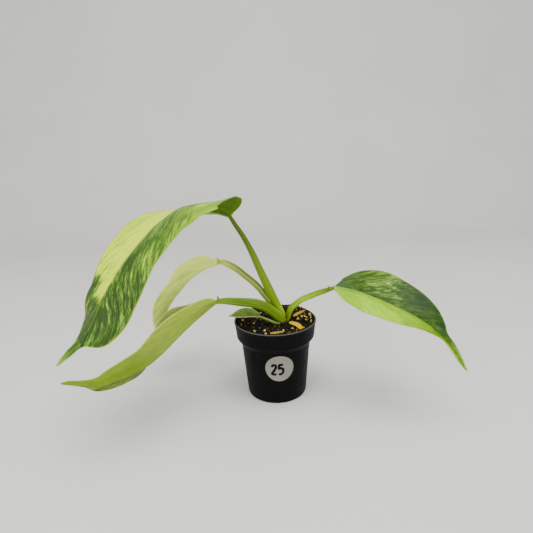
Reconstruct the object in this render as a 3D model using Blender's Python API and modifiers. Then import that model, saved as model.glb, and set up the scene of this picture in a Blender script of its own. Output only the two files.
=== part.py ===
"""A young variegated philodendron in its 3 inch nursery pot.

Metres, +Z up. The origin is on the ground at the middle of the pot. The tall leaf and the low leaf
reach to the left (-X) and the front (-Y), the back leaf to the back left, and the right leaf to +X.
"""

import math
from typing import NamedTuple

import bmesh
import bpy
import numpy as np
from mathutils import Euler, Matrix, Vector, noise

MM = 0.001
UP = np.array([0.0, 0.0, 1.0])
GAP = 0.3 * MM
SHARP_ANGLE = math.radians(40)

# Pot
POT_HEIGHT = 72 * MM
RIM_RADIUS = 38 * MM
RIM_WALL = 1.3 * MM
RIM_ROUND = 0.4 * MM
LIP_HEIGHT = 1.6 * MM
LIP_PROUD = 0.5 * MM
BAND_FOOT_RADIUS = 36.1 * MM
BAND_FOOT_HEIGHT = 56.9 * MM
BODY_TOP_RADIUS = 32.0 * MM
BODY_TOP_HEIGHT = 51.5 * MM
BODY_FOOT_RADIUS = 27.8 * MM
BODY_FOOT_HEIGHT = 2.2 * MM
WALL = 1.3 * MM
# The inner wall turns out to the band a little above the outer wall
INNER_BODY_TOP = BODY_TOP_HEIGHT + 0.4 * MM
INNER_BAND_FOOT = BAND_FOOT_HEIGHT + 0.6 * MM
FLOOR_TOP = 3.5 * MM
FLOOR_ROUND = 1.6 * MM
FLOOR_ROUND_TOP = FLOOR_TOP + 1.4 * MM
FOOT_ROUND_RADIUS = 27.3 * MM
FOOT_ROUND_HEIGHT = 0.7 * MM
FOOT_RING_OUTER = 26.5 * MM
FOOT_RING_INNER = 23.0 * MM
RECESS_HEIGHT = 2.0 * MM
RECESS_OUTER = 21.8 * MM
RECESS_INNER = 11.2 * MM
CENTRE_DISC_RADIUS = 10.0 * MM
POT_STEPS = 40
DRAIN_HOLES = 6
DRAIN_HOLE_RADIUS = 2.4 * MM
DRAIN_CIRCLE_RADIUS = 16.5 * MM
DRAIN_CUT_DEPTH = 8 * MM
DRAIN_CUT_CENTRE = 2.8 * MM

# Potting mix
MIX_LEVEL = 69.8 * MM
MIX_EDGE_DROP = 0.5 * MM
MIX_RINGS = 9
MIX_RIM_CLEARANCE = 0.3 * MM
# Lumps: the span of the noise and the height that it gives, and the slice that is taken of it
MIX_LUMPS = ((4.4 * MM, 1.1 * MM), (1.4 * MM, 0.5 * MM))
MIX_LUMP_SLICE = 3.0
# Heap at the back right: its place, height and reach
MIX_HEAP = (17 * MM, 21 * MM, 4.0 * MM, 20 * MM)
CROWN_DIP = 2.4 * MM
CROWN_DIP_REACH = 12 * MM
STEM_HOLE_RADIUS = 8.3 * MM
STEM_HOLE_DEPTH = 30 * MM
CRUMBS = 34
CRUMB_SIZES = (1.3 * MM, 2.3 * MM)
CRUMB_STRETCH = (0.6, 1.25)
CRUMB_REACH = 33 * MM
CRUMB_SPACING = 0.4 * MM
CRUMB_SINK = 0.1
CRUMB_CLEAR_OF_CROWN = 11 * MM
CRUMB_SEED = 7

# Crown: the short stem that the stalks leave
CROWN_CENTRE = (6.5 * MM, -1.8 * MM)
CROWN_FOOT = 57 * MM
CROWN_PROFILE = ((57, 5.0), (61, 6.8), (68, 7.8), (71.0, 7.8), (72.6, 6.6), (73.6, 4.2), (74.0, 1.4))
CROWN_SHOULDER = 71 * MM
CROWN_SIDES = 14

# Sticker on the front of the wall
STICKER_RADIUS = 12.7 * MM
STICKER_HEIGHT = 36.9 * MM
STICKER_TURN = math.radians(4.0)
STICKER_THICKNESS = 0.4 * MM
STICKER_SIDES = 28
STICKER_CUTS = 2

BLADE_THICKNESS = 0.8 * MM
RIDGE_THICKNESS = 2.4 * MM
RIDGE_HALF_WIDTH = 0.06
RIDGE_TAPER = 0.5
MARGIN_WAVES = 5
SHEATH_TIP_RADIUS = 1.3 * MM
SHEATH_TIP_END = 0.4 * MM
# How far out of the stalk the middle of the tip stands, as a share of the radius and of its length
SHEATH_TIP_SET = 0.4


class Stalk(NamedTuple):
    """A leaf stalk. Lengths are in millimetres, from the crown up, and angles in degrees."""

    points: tuple
    widths: tuple
    thicknesses: tuple
    grooves: tuple
    roll: float
    # Where the free tip of the sheath leaves it, as a share of its length, its length, and its rise
    sheath_tip: tuple = ()


class Leaf(NamedTuple):
    """A leaf blade. Lengths are in millimetres and angles in degrees.

    The midrib runs from the stalk to the tip. Left and right are seen from above, looking along the
    midrib. At each station, a share of the midrib's length, the whole blade is rolled about its
    midrib (right side up), each half is folded up by its fold, and curls by its curl out to its edge.
    """

    midrib: tuple
    stations: tuple
    roll: tuple
    fold_left: tuple
    fold_right: tuple
    curl_left: tuple
    curl_right: tuple
    half_width: float
    widths: tuple
    drip: float
    lobe_left: float
    lobe_right: float
    wave: float


# Half-widths are given at these shares of the blade's length before its drip tip
WIDTHS_AT = (0.12, 0.25, 0.42, 0.58, 0.73, 0.86, 0.95, 1.0)
# Where the row of the mesh to each of those points leaves the midrib
ROWS_FROM = (0.11, 0.20, 0.35, 0.50, 0.65, 0.79, 0.90, 0.96)
# The lobe behind the stalk: distance along, half-width, and where its row leaves the midrib
LOBE = ((0, 0, 0), (-0.035, 0.12, 0.003), (-0.065, 0.30, 0.01), (-0.07, 0.52, 0.02), (-0.045, 0.74, 0.035))
SHOULDER = (0.03, 0.88, 0.07)
# How far the base of a blade without lobes draws back towards its full width
BASE_ROUND = 0.05
# The drip tip, as shares of its own length and of the width at its start, and where its rows start
DRIP = ((0.35, 0.7), (0.75, 0.45), (1.0, 0.0))
DRIP_ROW = 0.96
# How quickly the rows lean towards the tip on their way to the edge
ROW_LEAN = 1.15

LEAVES = {
    "tall": Leaf(
        midrib=((-34, -28, 173), (-49, -29, 178), (-60, -33, 181), (-71, -37, 181), (-82, -42, 175),
                (-105, -56, 153), (-126, -69, 123), (-137, -76, 101), (-145, -79, 91), (-161, -85, 76)),
        stations=(0, 0.06, 0.13, 0.2, 0.3, 0.5, 0.75, 1),
        roll=(-36, -28, -16, -9, -3, 8, 17, 16),
        fold_left=(34, 22, 15, 9, 10, 6, -9, 9),
        fold_right=(37, 21, 11, 2, 6, 4, -9, 9),
        curl_left=(-82, -77, -57, -57, -51, -39, -45, -50),
        curl_right=(-2, -9, -10, -7, 5, 7, -6, -28),
        half_width=39,
        widths=(1.0, 0.96, 0.85, 0.82, 0.72, 0.58, 0.14, 0.11),
        drip=0.06, lobe_left=0.5, lobe_right=0.3, wave=0.25,
    ),
    "back": Leaf(
        midrib=((-54, 31, 119.5), (-64, 34, 116), (-74, 37, 110), (-85, 39, 102), (-95, 39, 91),
                (-104, 37, 80), (-110, 34, 70), (-115, 30, 57), (-119, 25, 43)),
        stations=(0, 0.25, 0.5, 0.75, 1),
        roll=(-13, -5, -7, -30, -50),
        fold_left=(32, 47, 43, 58, 55),
        fold_right=(32, 50, 48, 58, 51),
        curl_left=(-18, -14, -11, 10, 25),
        curl_right=(-64, -26, -3, 10, 10),
        half_width=21.7,
        widths=(0.98, 1.0, 0.96, 0.84, 0.72, 0.47, 0.24, 0.14),
        drip=0.04, lobe_left=0.18, lobe_right=0.18, wave=0.4,
    ),
    "low": Leaf(
        midrib=((-50.5, -35, 102.5), (-66, -44, 92), (-81, -57, 81), (-91, -66, 73), (-99, -76, 69),
                (-107, -87, 69), (-115, -96, 69), (-123, -104, 70), (-130, -109, 74), (-142, -116, 80)),
        stations=(0, 0.12, 0.25, 0.5, 0.75, 1),
        roll=(-17, -15, -8, -61, -77, -80),
        fold_left=(15, 36, 62, 34, 30, 37),
        fold_right=(10, 19, 40, 28, 28, 37),
        curl_left=(22, 18, 15, -5, -11, -8),
        curl_right=(10, 20, 30, -12, -30, -26),
        half_width=20,
        widths=(0.99, 1.0, 0.98, 0.85, 0.63, 0.48, 0.30, 0.17),
        drip=0.14, lobe_left=0.15, lobe_right=0.15, wave=0.3,
    ),
    "right": Leaf(
        midrib=((52.6, -18, 107), (65, -22.5, 105), (80, -29, 101), (94, -39, 97), (107, -48, 92),
                (120.5, -57.5, 84), (131.5, -67, 74), (141, -79.5, 56)),
        stations=(0, 0.25, 0.5, 0.75, 1),
        roll=(22, -3, -17, -34, -70),
        fold_left=(15, 23, 19, 35, 38),
        fold_right=(0, 32, 13, 36, 34),
        curl_left=(9, 12, 8, 5, 3),
        curl_right=(-20, -72, -8, 2, 6),
        half_width=30,
        widths=(1.05, 1.04, 0.93, 0.83, 0.66, 0.45, 0.27, 0.15),
        drip=0.31, lobe_left=0.04, lobe_right=0.04, wave=0.1,
    ),
    "small": Leaf(
        midrib=((-14, -12, 80), (-23, -11, 80.4), (-33, -9, 80), (-42.5, -7, 79)),
        stations=(0, 0.5, 1),
        roll=(9, 9, 9),
        fold_left=(24, 20, 16),
        fold_right=(24, 22, 16),
        curl_left=(0, 0, 0),
        curl_right=(6, 6, 6),
        half_width=9.2,
        widths=(0.52, 0.76, 0.9, 0.89, 0.76, 0.44, 0.17, 0.07),
        drip=0.05, lobe_left=0.05, lobe_right=0.05, wave=0.1,
    ),
}

STALKS = {
    "tall": Stalk(
        points=((7.0, 1.6, 71), (6.2, 0.9, 73.4), (3.8, 0, 80.2), (-0.1, -2, 90.7), (-6.4, -6, 107),
                (-12.4, -11, 123.4), (-18, -15.5, 139), (-24.5, -20.5, 154), (-30.6, -24.8, 165.3),
                (-33.3, -26.9, 170.6)),
        widths=(7.6, 8.4, 8.2, 7.8, 7.4, 6.3, 5.4, 4.3, 3.7, 3.4),
        thicknesses=(6.0, 6.0, 6.0, 6.0, 5.8, 5.2, 4.6, 3.9, 3.5, 3.4),
        grooves=(0.8, 0.8, 0.8, 0.7, 0.6, 0.5, 0.4, 0.2, 0.1, 0),
        roll=-75,
    ),
    "back": Stalk(
        points=((7.4, 5.4, 73), (5.7, 7.8, 74), (0.1, 9.4, 80.7), (-7.6, 11.8, 89.7),
                (-14.4, 14.5, 98.3), (-20, 17, 103.5), (-27.4, 20, 109.3), (-35, 23, 114.9),
                (-42.7, 26, 118.9), (-50, 29.1, 120.9), (-53.3, 30.5, 120.5)),
        widths=(5.4, 5.8, 6.0, 6.2, 6.2, 6.2, 6.1, 6.1, 6.1, 4.8, 4.0),
        thicknesses=(3.8, 4.2, 4.4, 4.4, 4.4, 4.2, 4.0, 3.9, 3.8, 3.6, 3.4),
        grooves=(0.6, 0.8, 0.9, 0.9, 0.9, 0.9, 0.9, 0.9, 0.8, 0.4, 0.2),
        roll=60, sheath_tip=(0.95, 9.0, 26),
    ),
    "low": Stalk(
        points=((7.6, -6.2, 71.4), (5.2, -7.3, 74.6), (1.8, -8.6, 78.6), (-2.7, -10.4, 83.2),
                (-7.5, -12.4, 87.5), (-14.4, -15.6, 91.8), (-21.2, -19, 94.7), (-27.9, -22.5, 96.8),
                (-34.4, -26.5, 99.2), (-40.8, -30, 101.2), (-46.2, -33, 102.4), (-49, -34.5, 102.8)),
        widths=(6.6, 8.0, 8.6, 8.9, 8.9, 8.7, 8.3, 7.9, 7.0, 6.3, 4.8, 4.0),
        thicknesses=(4.6, 5.4, 5.8, 6.0, 6.0, 5.8, 5.6, 5.2, 4.8, 4.4, 3.8, 3.6),
        grooves=(0.8, 0.8, 0.9, 0.9, 0.9, 0.9, 0.9, 0.8, 0.7, 0.5, 0.3, 0.2),
        roll=-65, sheath_tip=(0.965, 5.5, 62),
    ),
    "right": Stalk(
        points=((10.6, -3.8, 71.2), (11.9, -4.5, 75), (13.4, -5, 80), (16.1, -5.6, 84.6), (19.8, -6.5, 88.1),
                (25.1, -7.8, 92.4), (32.2, -9.5, 95.8), (39, -12, 99.2), (44, -14, 101.5), (48.9, -16.5, 104),
                (51.5, -17.7, 105.5)),
        widths=(5.6, 6.1, 5.9, 5.7, 5.5, 5.4, 5.4, 5.1, 4.8, 3.6, 3.4),
        thicknesses=(4.6, 4.6, 4.6, 4.6, 4.4, 4.2, 4.0, 3.8, 3.6, 3.2, 3.2),
        grooves=(0.7, 0.8, 0.8, 0.9, 0.9, 0.9, 0.9, 0.8, 0.6, 0.3, 0.2),
        roll=-40, sheath_tip=(0.9, 3.8, 40),
    ),
    "small": Stalk(
        points=((3.8, -7.8, 70.2), (0.6, -10.8, 71.9), (-2.2, -12.2, 73.9), (-6.5, -12.6, 76.4),
                (-11.4, -12.7, 78.6), (-13.2, -12.3, 79.3)),
        widths=(3.2, 3.4, 3.3, 3.2, 3.0, 2.6),
        thicknesses=(2.8, 2.9, 2.9, 2.8, 2.6, 2.4),
        grooves=(0.3, 0.5, 0.6, 0.5, 0.3, 0.1),
        roll=-20,
    ),
}

PALE_LEAVES = ("back", "low")

# Rows along and columns across each half of a blade, and rings along a stalk
BLADE_GRIDS = {"tall": (30, 6), "back": (24, 5), "low": (26, 5), "right": (26, 5), "small": (14, 3)}
STALK_RINGS = {"tall": 16, "back": 14, "low": 14, "right": 14, "small": 8}
STALK_SIDES = 12

# Dry pieces on the mix: middle line, width, thickness. Their section runs round from the lower left
STRIP_RINGS = 7
STRIP_END_WIDTH = 0.6
STRIP_SECTION = ((-1, -0.6), (-0.5, -1), (0.5, -1), (1, -0.6), (0.9, 0.5), (0.4, 1), (-0.4, 1), (-0.9, 0.5))
BARK_STRIPS = {
    "bark_strip_right": (((17.5, 4.5, 71.6), (23.5, 10, 72.8), (29, 15.5, 72.6)), 4.4, 1.8),
    "bark_strip_front": (((-5, -31, 70.8), (0.8, -30.2, 71.2), (6.4, -28.8, 71)), 3.4, 1.6),
}
BUD_SHEATH = (((13.4, -10.6, 71.2), (16.6, -14.8, 72.4), (20, -19.6, 72.4), (22.6, -25, 71.2)), 5.4, 3.0)
BUD_SHEATH_HOLLOW = 0.9

COLOURS = {
    "black_plastic": ((0.012, 0.012, 0.014), 0.42),
    "potting_mix": ((0.030, 0.020, 0.013), 0.95),
    "sticker_paper": ((0.62, 0.60, 0.55), 0.60),
    "crown_green": ((0.30, 0.38, 0.06), 0.55),
    "stalk_green": ((0.38, 0.52, 0.06), 0.42),
    "blade_green": ((0.20, 0.36, 0.05), 0.38),
    "blade_pale": ((0.62, 0.68, 0.28), 0.40),
    "bark": ((0.50, 0.33, 0.17), 0.85),
    "dry_sheath": ((0.72, 0.52, 0.08), 0.55),
}


def clear_scene():
    for thing in list(bpy.data.objects):
        bpy.data.objects.remove(thing, do_unlink=True)
    for group in list(bpy.data.collections):
        bpy.data.collections.remove(group)


def new_collection(name):
    collection = bpy.data.collections.new(name)
    bpy.context.scene.collection.children.link(collection)
    return collection


def material(name):
    found = bpy.data.materials.get(name)
    if found:
        return found
    colour, roughness = COLOURS[name]
    made = bpy.data.materials.new(name)
    made.use_nodes = True
    shader = made.node_tree.nodes["Principled BSDF"]
    shader.inputs["Base Color"].default_value = (*colour, 1.0)
    shader.inputs["Roughness"].default_value = roughness
    return made


def finish(name, build, collection, finish_name=None):
    """Turn a bmesh into a named object."""
    mesh = bpy.data.meshes.new(name)
    build.to_mesh(mesh)
    build.free()
    thing = bpy.data.objects.new(name, mesh)
    collection.objects.link(thing)
    if finish_name:
        mesh.materials.append(material(finish_name))
        mesh.shade_smooth()
        mesh.set_sharp_from_angle(angle=SHARP_ANGLE)
    else:
        thing.hide_render = True
        thing.display_type = "WIRE"
    return thing


def boolean(thing, other, operation="DIFFERENCE"):
    modifier = thing.modifiers.new(f"{operation.lower()} {other.name}", "BOOLEAN")
    modifier.operation = operation
    modifier.object = other
    modifier.solver = "EXACT"


# Curves


def through(knots, values, at):
    """A smooth curve through the values at the knots, read at the places given."""
    knots = np.asarray(knots, float)
    values = np.asarray(values, float)
    at = np.asarray(at, float)
    slope = np.gradient(values, knots, axis=0)
    i = np.clip(np.searchsorted(knots, at, side="right") - 1, 0, len(knots) - 2)
    span = knots[i + 1] - knots[i]
    u = np.clip((at - knots[i]) / span, 0, 1)
    if values.ndim > 1:
        span, u = span[:, None], u[:, None]
    return (
        (1 + 2 * u) * (1 - u) ** 2 * values[i]
        + u * (1 - u) ** 2 * span * slope[i]
        + u * u * (3 - 2 * u) * values[i + 1]
        + u * u * (u - 1) * span * slope[i + 1]
    )


def chord(points):
    steps = np.linalg.norm(np.diff(np.asarray(points, float), axis=0), axis=1)
    return np.concatenate([[0], np.cumsum(steps)])


def along(points, distance):
    """Place, direction, side and upper side at distances along a line, straight on beyond its ends."""
    points = np.asarray(points, float)
    knots = chord(points)
    step = 0.5
    inside = np.clip(distance, step, knots[-1] - step)
    direction = through(knots, points, inside + step) - through(knots, points, inside - step)
    direction /= np.linalg.norm(direction, axis=1, keepdims=True)
    held = np.clip(distance, 0, knots[-1])
    place = through(knots, points, held) + direction * (distance - held)[:, None]
    side = np.cross(direction, UP)
    side /= np.linalg.norm(side, axis=1, keepdims=True)
    return place, direction, side, np.cross(side, direction)


def rolled(side, upper, angle):
    """Turn side and upper side about the direction, so that the right side rises."""
    angle = np.asarray(angle)[..., None]
    return side * np.cos(angle) + upper * np.sin(angle), upper * np.cos(angle) - side * np.sin(angle)


# Leaves


def outline(leaf, right, rows):
    """Along, half-width and row start, as shares, at even steps round the edge from stalk to tip."""
    lobe = leaf.lobe_right if right else leaf.lobe_left
    body = [*LOBE, SHOULDER] + [list(row) for row in zip(WIDTHS_AT, leaf.widths, ROWS_FROM)]
    last = leaf.widths[-1]
    tail = [(1 + share * leaf.drip, last * width, 1 + share * leaf.drip * DRIP_ROW) for share, width in DRIP]
    points = np.array([*body, *tail], float)
    points[-1, 2] = 1 + leaf.drip
    # A leaf that widens slowly from its stalk has a narrow base
    points[: len(LOBE) + 1, 1] *= min(1, leaf.widths[0] / SHOULDER[1]) ** 2
    knots = chord(points[:, :2] * (3, 1))
    points[: len(LOBE), 0] *= lobe
    points[: len(LOBE), 0] += BASE_ROUND * max(0, 1 - 2 * lobe) * points[: len(LOBE), 1] ** 2
    points[:, [0, 2]] /= 1 + leaf.drip
    return through(knots, points, np.linspace(0, knots[-1], rows))


def blade_points(leaf, place, across):
    """Points of the blade at distances along and across its flat shape (right is positive)."""
    length = chord(leaf.midrib)[-1]
    point, _, side, upper = along(leaf.midrib, place)
    share = np.clip(place / length, 0, 1)

    def angle(values):
        return np.radians(through(leaf.stations, values, share))

    side, upper = rolled(side, upper, angle(leaf.roll))
    right = across >= 0
    out = np.abs(across)
    fold = np.where(right, angle(leaf.fold_right), angle(leaf.fold_left))
    curl = np.where(right, angle(leaf.curl_right), angle(leaf.curl_left))
    half = curl * out / leaf.half_width / 2
    reach = out * np.sinc(half / math.pi)
    rise = reach * np.sin(fold + half)
    waves = np.sin(MARGIN_WAVES * 2 * math.pi * share + right)
    rise = rise + leaf.wave * (out / leaf.half_width) ** 2 * waves
    outward = np.where(right, 1, -1) * reach * np.cos(fold + half)
    return point + side * outward[:, None] + upper * rise[:, None]


def blade(name, leaf, rows, columns, collection, finish_name):
    """One closed blade: a surface of triangles, thickened below, with a ridge under the midrib."""
    length = chord(leaf.midrib)[-1]
    spread = np.concatenate([[0, RIDGE_HALF_WIDTH], np.linspace(0, 1, columns)[1:]])
    halves = {}
    for right in (False, True):
        edge = outline(leaf, right, rows)
        place = edge[:, 2:] + (edge[:, :1] - edge[:, 2:]) * spread**ROW_LEAN
        across = edge[:, 1:2] * spread * leaf.half_width * (1 if right else -1)
        points = blade_points(leaf, place.ravel() * length, across.ravel() + (0 if right else -1e-6))
        halves[right] = points.reshape(rows, columns + 1, 3) * MM
    build = bmesh.new()
    weights = build.verts.layers.deform.verify()
    flat_share = BLADE_THICKNESS / RIDGE_THICKNESS

    def vertex(row, column):
        half = halves[column >= 0]
        made = build.verts.new(half[row, abs(column)])
        ridge = 1 - RIDGE_TAPER * row / (rows - 1)
        made[weights][0] = ridge if column == 0 else flat_share
        return made

    first = vertex(0, 0)
    last = vertex(rows - 1, 0)
    span = range(-columns, columns + 1)
    lines = [[first]] + [[vertex(row, column) for column in span] for row in range(1, rows - 1)] + [[last]]
    for lower, upper in zip(lines, lines[1:]):
        for j in range(2 * columns):
            corners = [lower[min(j, len(lower) - 1)], lower[min(j + 1, len(lower) - 1)],
                       upper[min(j + 1, len(upper) - 1)], upper[min(j, len(upper) - 1)]]
            build.faces.new(dict.fromkeys(corners))
    bmesh.ops.triangulate(build, faces=build.faces)
    thing = finish(name, build, collection, finish_name)
    thing.vertex_groups.new(name="ridge")
    shell = thing.modifiers.new("Thickness", "SOLIDIFY")
    shell.thickness = RIDGE_THICKNESS
    shell.offset = -1
    shell.vertex_group = "ridge"
    return thing


# Stalks and other lofted pieces


def loft(rings):
    """A bmesh through rings of points. A ring of one point closes an end; a larger end ring is capped."""
    build = bmesh.new()
    loops = [[build.verts.new(point) for point in ring] for ring in rings]
    for lower, upper in zip(loops, loops[1:]):
        count = max(len(lower), len(upper))
        for i in range(count):
            j = (i + 1) % count
            corners = [lower[i % len(lower)], lower[j % len(lower)]]
            corners += [upper[j % len(upper)], upper[i % len(upper)]]
            build.faces.new(dict.fromkeys(corners))
    for end in (loops[0], loops[-1]):
        if len(end) > 1:
            build.faces.new(end)
    bmesh.ops.recalc_face_normals(build, faces=build.faces)
    bmesh.ops.triangulate(build, faces=build.faces)
    return build


def stalk_section(width, thickness, groove):
    """Points round a stalk's section: a round belly, and an upper side from round to grooved."""
    turn = np.linspace(0, 2 * math.pi, STALK_SIDES, endpoint=False)
    x = np.cos(turn) * width / 2
    closed = np.sin(turn)
    open_sheath = 0.75 * np.cos(turn) ** 2 - 0.3 * np.sin(turn) ** 2
    y = np.where(closed > 1e-6, (1 - groove) * closed + groove * open_sheath, closed)
    return x, y * thickness / 2


def stalk_rings(stalk, count):
    knots = chord(stalk.points)
    distance = np.linspace(0, knots[-1], count)
    place, _, side, upper = along(stalk.points, distance)
    side, upper = rolled(side, upper, np.full(count, math.radians(stalk.roll)))
    sizes = [through(knots, values, distance) for values in (stalk.widths, stalk.thicknesses, stalk.grooves)]
    for i in range(count):
        x, y = stalk_section(*(size[i] for size in sizes))
        yield (place[i] + side[i] * x[:, None] + upper[i] * y[:, None]) * MM


def sheath_tip(name, stalk, collection):
    """The little free tip of the sheath, near the blade."""
    share, length, rise = stalk.sheath_tip
    distance = np.array([chord(stalk.points)[-1] * share])
    place, direction, _, upper = along(stalk.points, distance)
    radius = through(chord(stalk.points), stalk.widths, distance)[0] / 2
    lean = direction[0] * math.cos(math.radians(rise)) + upper[0] * math.sin(math.radians(rise))
    lean = Vector(lean).normalized()
    centre = Vector(place[0] + upper[0] * radius * SHEATH_TIP_SET) + lean * length * SHEATH_TIP_SET
    build = bmesh.new()
    bmesh.ops.create_cone(
        build, cap_ends=True, segments=6, radius1=SHEATH_TIP_RADIUS, radius2=SHEATH_TIP_END, depth=length * MM
    )
    turn = lean.to_track_quat("Z", "Y").to_matrix().to_4x4()
    bmesh.ops.transform(build, matrix=Matrix.Translation(centre * MM) @ turn, verts=build.verts)
    return finish(name, build, collection)


# Pieces


def pot(parts, cutters):
    slope = (BODY_TOP_RADIUS - BODY_FOOT_RADIUS) / (BODY_TOP_HEIGHT - BODY_FOOT_HEIGHT)
    profile = [
        (0, FLOOR_TOP),
        (BODY_FOOT_RADIUS - WALL - FLOOR_ROUND, FLOOR_TOP),
        (BODY_FOOT_RADIUS - WALL + slope * (FLOOR_ROUND_TOP - BODY_FOOT_HEIGHT), FLOOR_ROUND_TOP),
        (BODY_TOP_RADIUS - WALL, INNER_BODY_TOP),
        (BAND_FOOT_RADIUS - WALL, INNER_BAND_FOOT),
        (RIM_RADIUS - RIM_WALL, POT_HEIGHT - RIM_ROUND),
        (RIM_RADIUS - RIM_WALL + RIM_ROUND, POT_HEIGHT),
        (RIM_RADIUS - RIM_ROUND, POT_HEIGHT),
        (RIM_RADIUS, POT_HEIGHT - RIM_ROUND),
        (RIM_RADIUS, POT_HEIGHT - LIP_HEIGHT),
        (RIM_RADIUS - LIP_PROUD, POT_HEIGHT - LIP_HEIGHT - LIP_PROUD),
        (BAND_FOOT_RADIUS, BAND_FOOT_HEIGHT),
        (BODY_TOP_RADIUS, BODY_TOP_HEIGHT),
        (BODY_FOOT_RADIUS, BODY_FOOT_HEIGHT),
        (FOOT_ROUND_RADIUS, FOOT_ROUND_HEIGHT),
        (FOOT_RING_OUTER, 0),
        (FOOT_RING_INNER, 0),
        (RECESS_OUTER, RECESS_HEIGHT),
        (RECESS_INNER, RECESS_HEIGHT),
        (CENTRE_DISC_RADIUS, 0),
        (0, 0),
    ]
    build = bmesh.new()
    line = [build.verts.new((radius, 0, height)) for radius, height in profile]
    for upper, lower in zip(line, line[1:]):
        build.edges.new((upper, lower))
    thing = finish("pot", build, parts, "black_plastic")
    turn = thing.modifiers.new("Turn", "SCREW")
    turn.steps = turn.render_steps = POT_STEPS
    turn.use_merge_vertices = True
    turn.merge_threshold = 0.01 * MM
    for i in range(DRAIN_HOLES):
        angle = 2 * math.pi * (i + 0.5) / DRAIN_HOLES
        build = bmesh.new()
        radius = DRAIN_HOLE_RADIUS
        bmesh.ops.create_cone(
            build, cap_ends=True, segments=12, radius1=radius, radius2=radius, depth=DRAIN_CUT_DEPTH
        )
        cutter = finish(f"drain_cutter_{i + 1}", build, cutters)
        x, y = DRAIN_CIRCLE_RADIUS * math.cos(angle), DRAIN_CIRCLE_RADIUS * math.sin(angle)
        cutter.location = (x, y, DRAIN_CUT_CENTRE)
        boolean(thing, cutter)
    return thing


def mix_height(x, y):
    """Height of the potting mix: nearly level, heaped at the back right, lumpy, and dipped at the crown."""
    heap_x, heap_y, heap_height, heap_reach = MIX_HEAP
    heap = heap_height * math.exp(-((x - heap_x) ** 2 + (y - heap_y) ** 2) / heap_reach**2)
    to_crown = math.hypot(x - CROWN_CENTRE[0], y - CROWN_CENTRE[1])
    dip = CROWN_DIP * math.exp(-((to_crown / CROWN_DIP_REACH) ** 2))
    lumps = sum(size * noise.noise(Vector((x / span, y / span, MIX_LUMP_SLICE))) for span, size in MIX_LUMPS)
    return MIX_LEVEL + heap - dip + lumps


def potting_mix(parts, cutters, standing):
    """The mix in the pot, with fused crumbs, a plain hole for the stem and beds for what lies on it."""
    outer = RIM_RADIUS - RIM_WALL - GAP - MIX_RIM_CLEARANCE
    rings = [[(0, 0, mix_height(0, 0))]]

    def circle(radius, height=None):
        turn = [2 * math.pi * i / POT_STEPS for i in range(POT_STEPS)]
        spots = [(radius * math.cos(angle), radius * math.sin(angle)) for angle in turn]
        return [(x, y, mix_height(x, y) if height is None else height) for x, y in spots]

    for i in range(1, MIX_RINGS):
        rings.append(circle(outer * i / MIX_RINGS))
    rings.append([(x, y, z - MIX_EDGE_DROP) for x, y, z in circle(outer)])
    rings.append(circle(BAND_FOOT_RADIUS - WALL - GAP, INNER_BAND_FOOT + GAP))
    rings.append(circle(BODY_TOP_RADIUS - WALL - GAP, INNER_BODY_TOP + GAP))
    rings.append(circle(BODY_FOOT_RADIUS - WALL - GAP, FLOOR_ROUND_TOP))
    rings.append(circle(BODY_FOOT_RADIUS - WALL - FLOOR_ROUND - GAP, FLOOR_TOP + GAP))
    rings.append([(0, 0, FLOOR_TOP + GAP)])
    thing = finish("potting_mix", loft(rings), parts, "potting_mix")
    boolean(thing, crumbs(cutters), "UNION")
    hole = bmesh.new()
    radius = STEM_HOLE_RADIUS
    bmesh.ops.create_cone(
        hole, cap_ends=True, segments=20, radius1=radius, radius2=radius, depth=STEM_HOLE_DEPTH
    )
    cutter = finish("stem_hole_cutter", hole, cutters)
    cutter.location = (*CROWN_CENTRE, CROWN_FOOT + STEM_HOLE_DEPTH / 2 - GAP)
    boolean(thing, cutter)
    for other in standing:
        boolean(thing, other)
    return thing


def crumbs(cutters):
    """Bark and stone crumbs standing out of the mix, each sunk by about half."""
    generator = np.random.default_rng(CRUMB_SEED)
    build = bmesh.new()
    placed = []
    while len(placed) < CRUMBS:
        radius = CRUMB_REACH * math.sqrt(generator.random())
        angle = generator.random() * 2 * math.pi
        size = generator.uniform(*CRUMB_SIZES)
        turn = Euler(generator.uniform(0, math.pi, 3))
        stretch = generator.uniform(*CRUMB_STRETCH, 3)
        x, y = radius * math.cos(angle), radius * math.sin(angle)
        beside_crown = math.hypot(x - CROWN_CENTRE[0], y - CROWN_CENTRE[1]) < CRUMB_CLEAR_OF_CROWN
        crowded = any(math.hypot(x - a, y - b) < size + other + CRUMB_SPACING for a, b, other in placed)
        if beside_crown or crowded:
            continue
        placed.append((x, y, size))
        matrix = Matrix.Translation((x, y, mix_height(x, y) - CRUMB_SINK * size))
        matrix = matrix @ turn.to_matrix().to_4x4() @ Matrix.Diagonal((*(size * stretch), 1))
        bmesh.ops.create_icosphere(build, subdivisions=1, radius=1, matrix=matrix)
    return finish("mix_crumbs", build, cutters)


def crown_rings(grow=0.0):
    for height, radius in CROWN_PROFILE:
        turn = [2 * math.pi * i / CROWN_SIDES for i in range(CROWN_SIDES)]
        reach = radius * MM + grow
        level = height * MM + (grow if height * MM > CROWN_SHOULDER else 0)
        yield [
            (CROWN_CENTRE[0] + reach * math.cos(angle), CROWN_CENTRE[1] + reach * math.sin(angle), level)
            for angle in turn
        ]


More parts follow.
